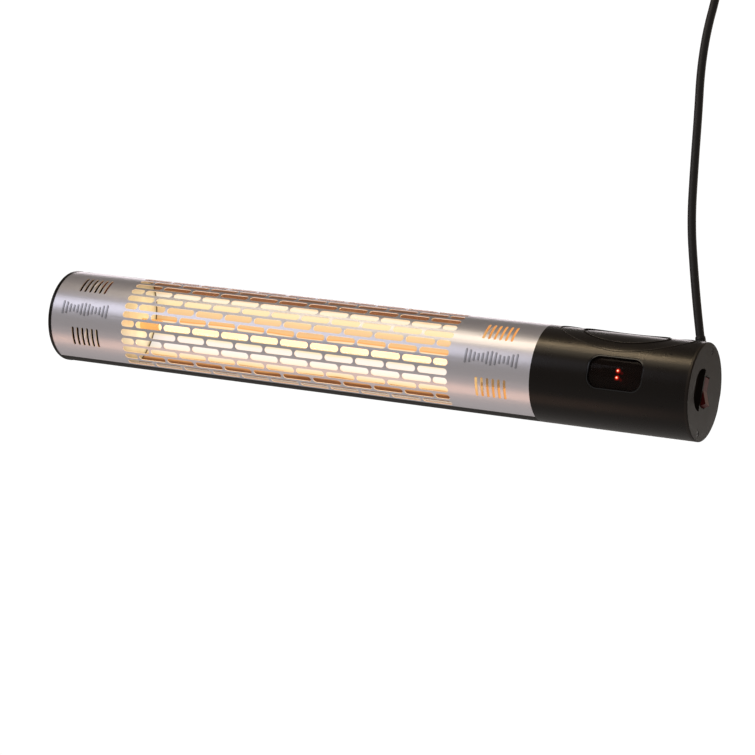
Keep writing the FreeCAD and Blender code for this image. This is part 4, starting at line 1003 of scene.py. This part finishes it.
def make_world():
    world = bpy.data.worlds.new("studio")
    bpy.context.scene.world = world
    world.use_nodes = True
    tree = world.node_tree
    background = tree.nodes["Background"]
    seen = seen_or_lit(tree, WHITE_SEEN, WORLD_FILL, background.inputs["Strength"])
    tint(tree, seen, WORLD_WARMTH, (1, 1, 1), background.inputs["Color"])


make_floor()
make_world()
bpy.context.scene.view_settings.view_transform = "Standard"
print("floor at", FLOOR_HEIGHT)

# %% [markdown]
# A cylinder mirrors a light as a band along its length, and the height of the light sets the
# height of the band. A cool strip stands in front and a cream one hangs above. A golden one below
# stands for the lamp's own light coming back from the counter, and three behind bring out the back
# and the end cap. The black plastic and the black shell need stronger strips than the steel does,
# so those two are linked to their pieces alone. Each row is a name, a place, a target, a size, a
# brightness and a colour.

# %% Soft lights
LIGHTS = [
    ("cool_front", (-1.3, -1.75, 0.62), (-0.3, 0, 0), (1.7, 0.85), 1.3, (0.87, 0.88, 1.0)),
    ("cream_top", (-0.4, -0.88, 1.1), (0.1, 0, 0), (1.0, 0.5), 2.3, (1.0, 0.86, 0.66)),
    ("golden_low", (-0.5, -0.3, -0.85), (-0.5, -0.05, 0), (1.1, 0.35), 0.85, (1.0, 0.58, 0.4)),
    ("rear_soft", (-1.0, 1.7, 1.0), (-0.4, 0, 0), (1.7, 0.8), 2.0, (1.0, 0.92, 0.94)),
    ("back_fill", (1.5, 1.9, 1.0), (0.3, 0, 0), (1.0, 0.6), 1.5, (1.0, 0.8, 0.6)),
    ("rear_low", (0.1, 2.0, 0.1), (0, 0, 0), (1.8, 0.35), 2.2, (1.0, 0.95, 0.9)),
]
LINKED_LIGHTS = {
    "plastic": ("plastic_strip", (-0.28, -0.72, 1.25), (0.3, 0, 0), (0.7, 0.13), 22.0, (1.0, 0.76, 0.47)),
    "shell": ("shell_strip", (-0.1, 1.1, 0.8), (-0.1, 0, 0), (1.3, 0.22), 22.0, (1.0, 0.95, 0.9)),
}


def softbox(name, place, target, size, brightness, colour):
    """An area light whose power follows from its size and how bright its face is."""
    light_data = bpy.data.lights.new(name, "AREA")
    light_data.shape = "RECTANGLE"
    light_data.size, light_data.size_y = size
    light_data.energy = brightness * math.pi * size[0] * size[1]
    light_data.color = colour
    light = bpy.data.objects.new(name, light_data)
    light.location = place
    light.rotation_euler = (Vector(target) - Vector(place)).to_track_quat("-Z", "Y").to_euler()
    light.visible_camera = False
    bpy.context.scene.collection.objects.link(light)
    return light


def linked_strip(settings, pieces):
    """A softbox that lights only some of the pieces."""
    receivers = bpy.data.collections.new(settings[0] + "_pieces")
    for piece in pieces:
        receivers.objects.link(piece)
    softbox(*settings).light_linking.receiver_collection = receivers


for light in LIGHTS:
    softbox(*light)
nodes = frame["nodes"]
linked_strip(LINKED_LIGHTS["plastic"], [nodes["control_housing"], nodes["right_cap"], *beads])
linked_strip(LINKED_LIGHTS["shell"], [nodes["rear_shell"], nodes["left_cap"]])
print("lights:", len(LIGHTS) + len(LINKED_LIGHTS))
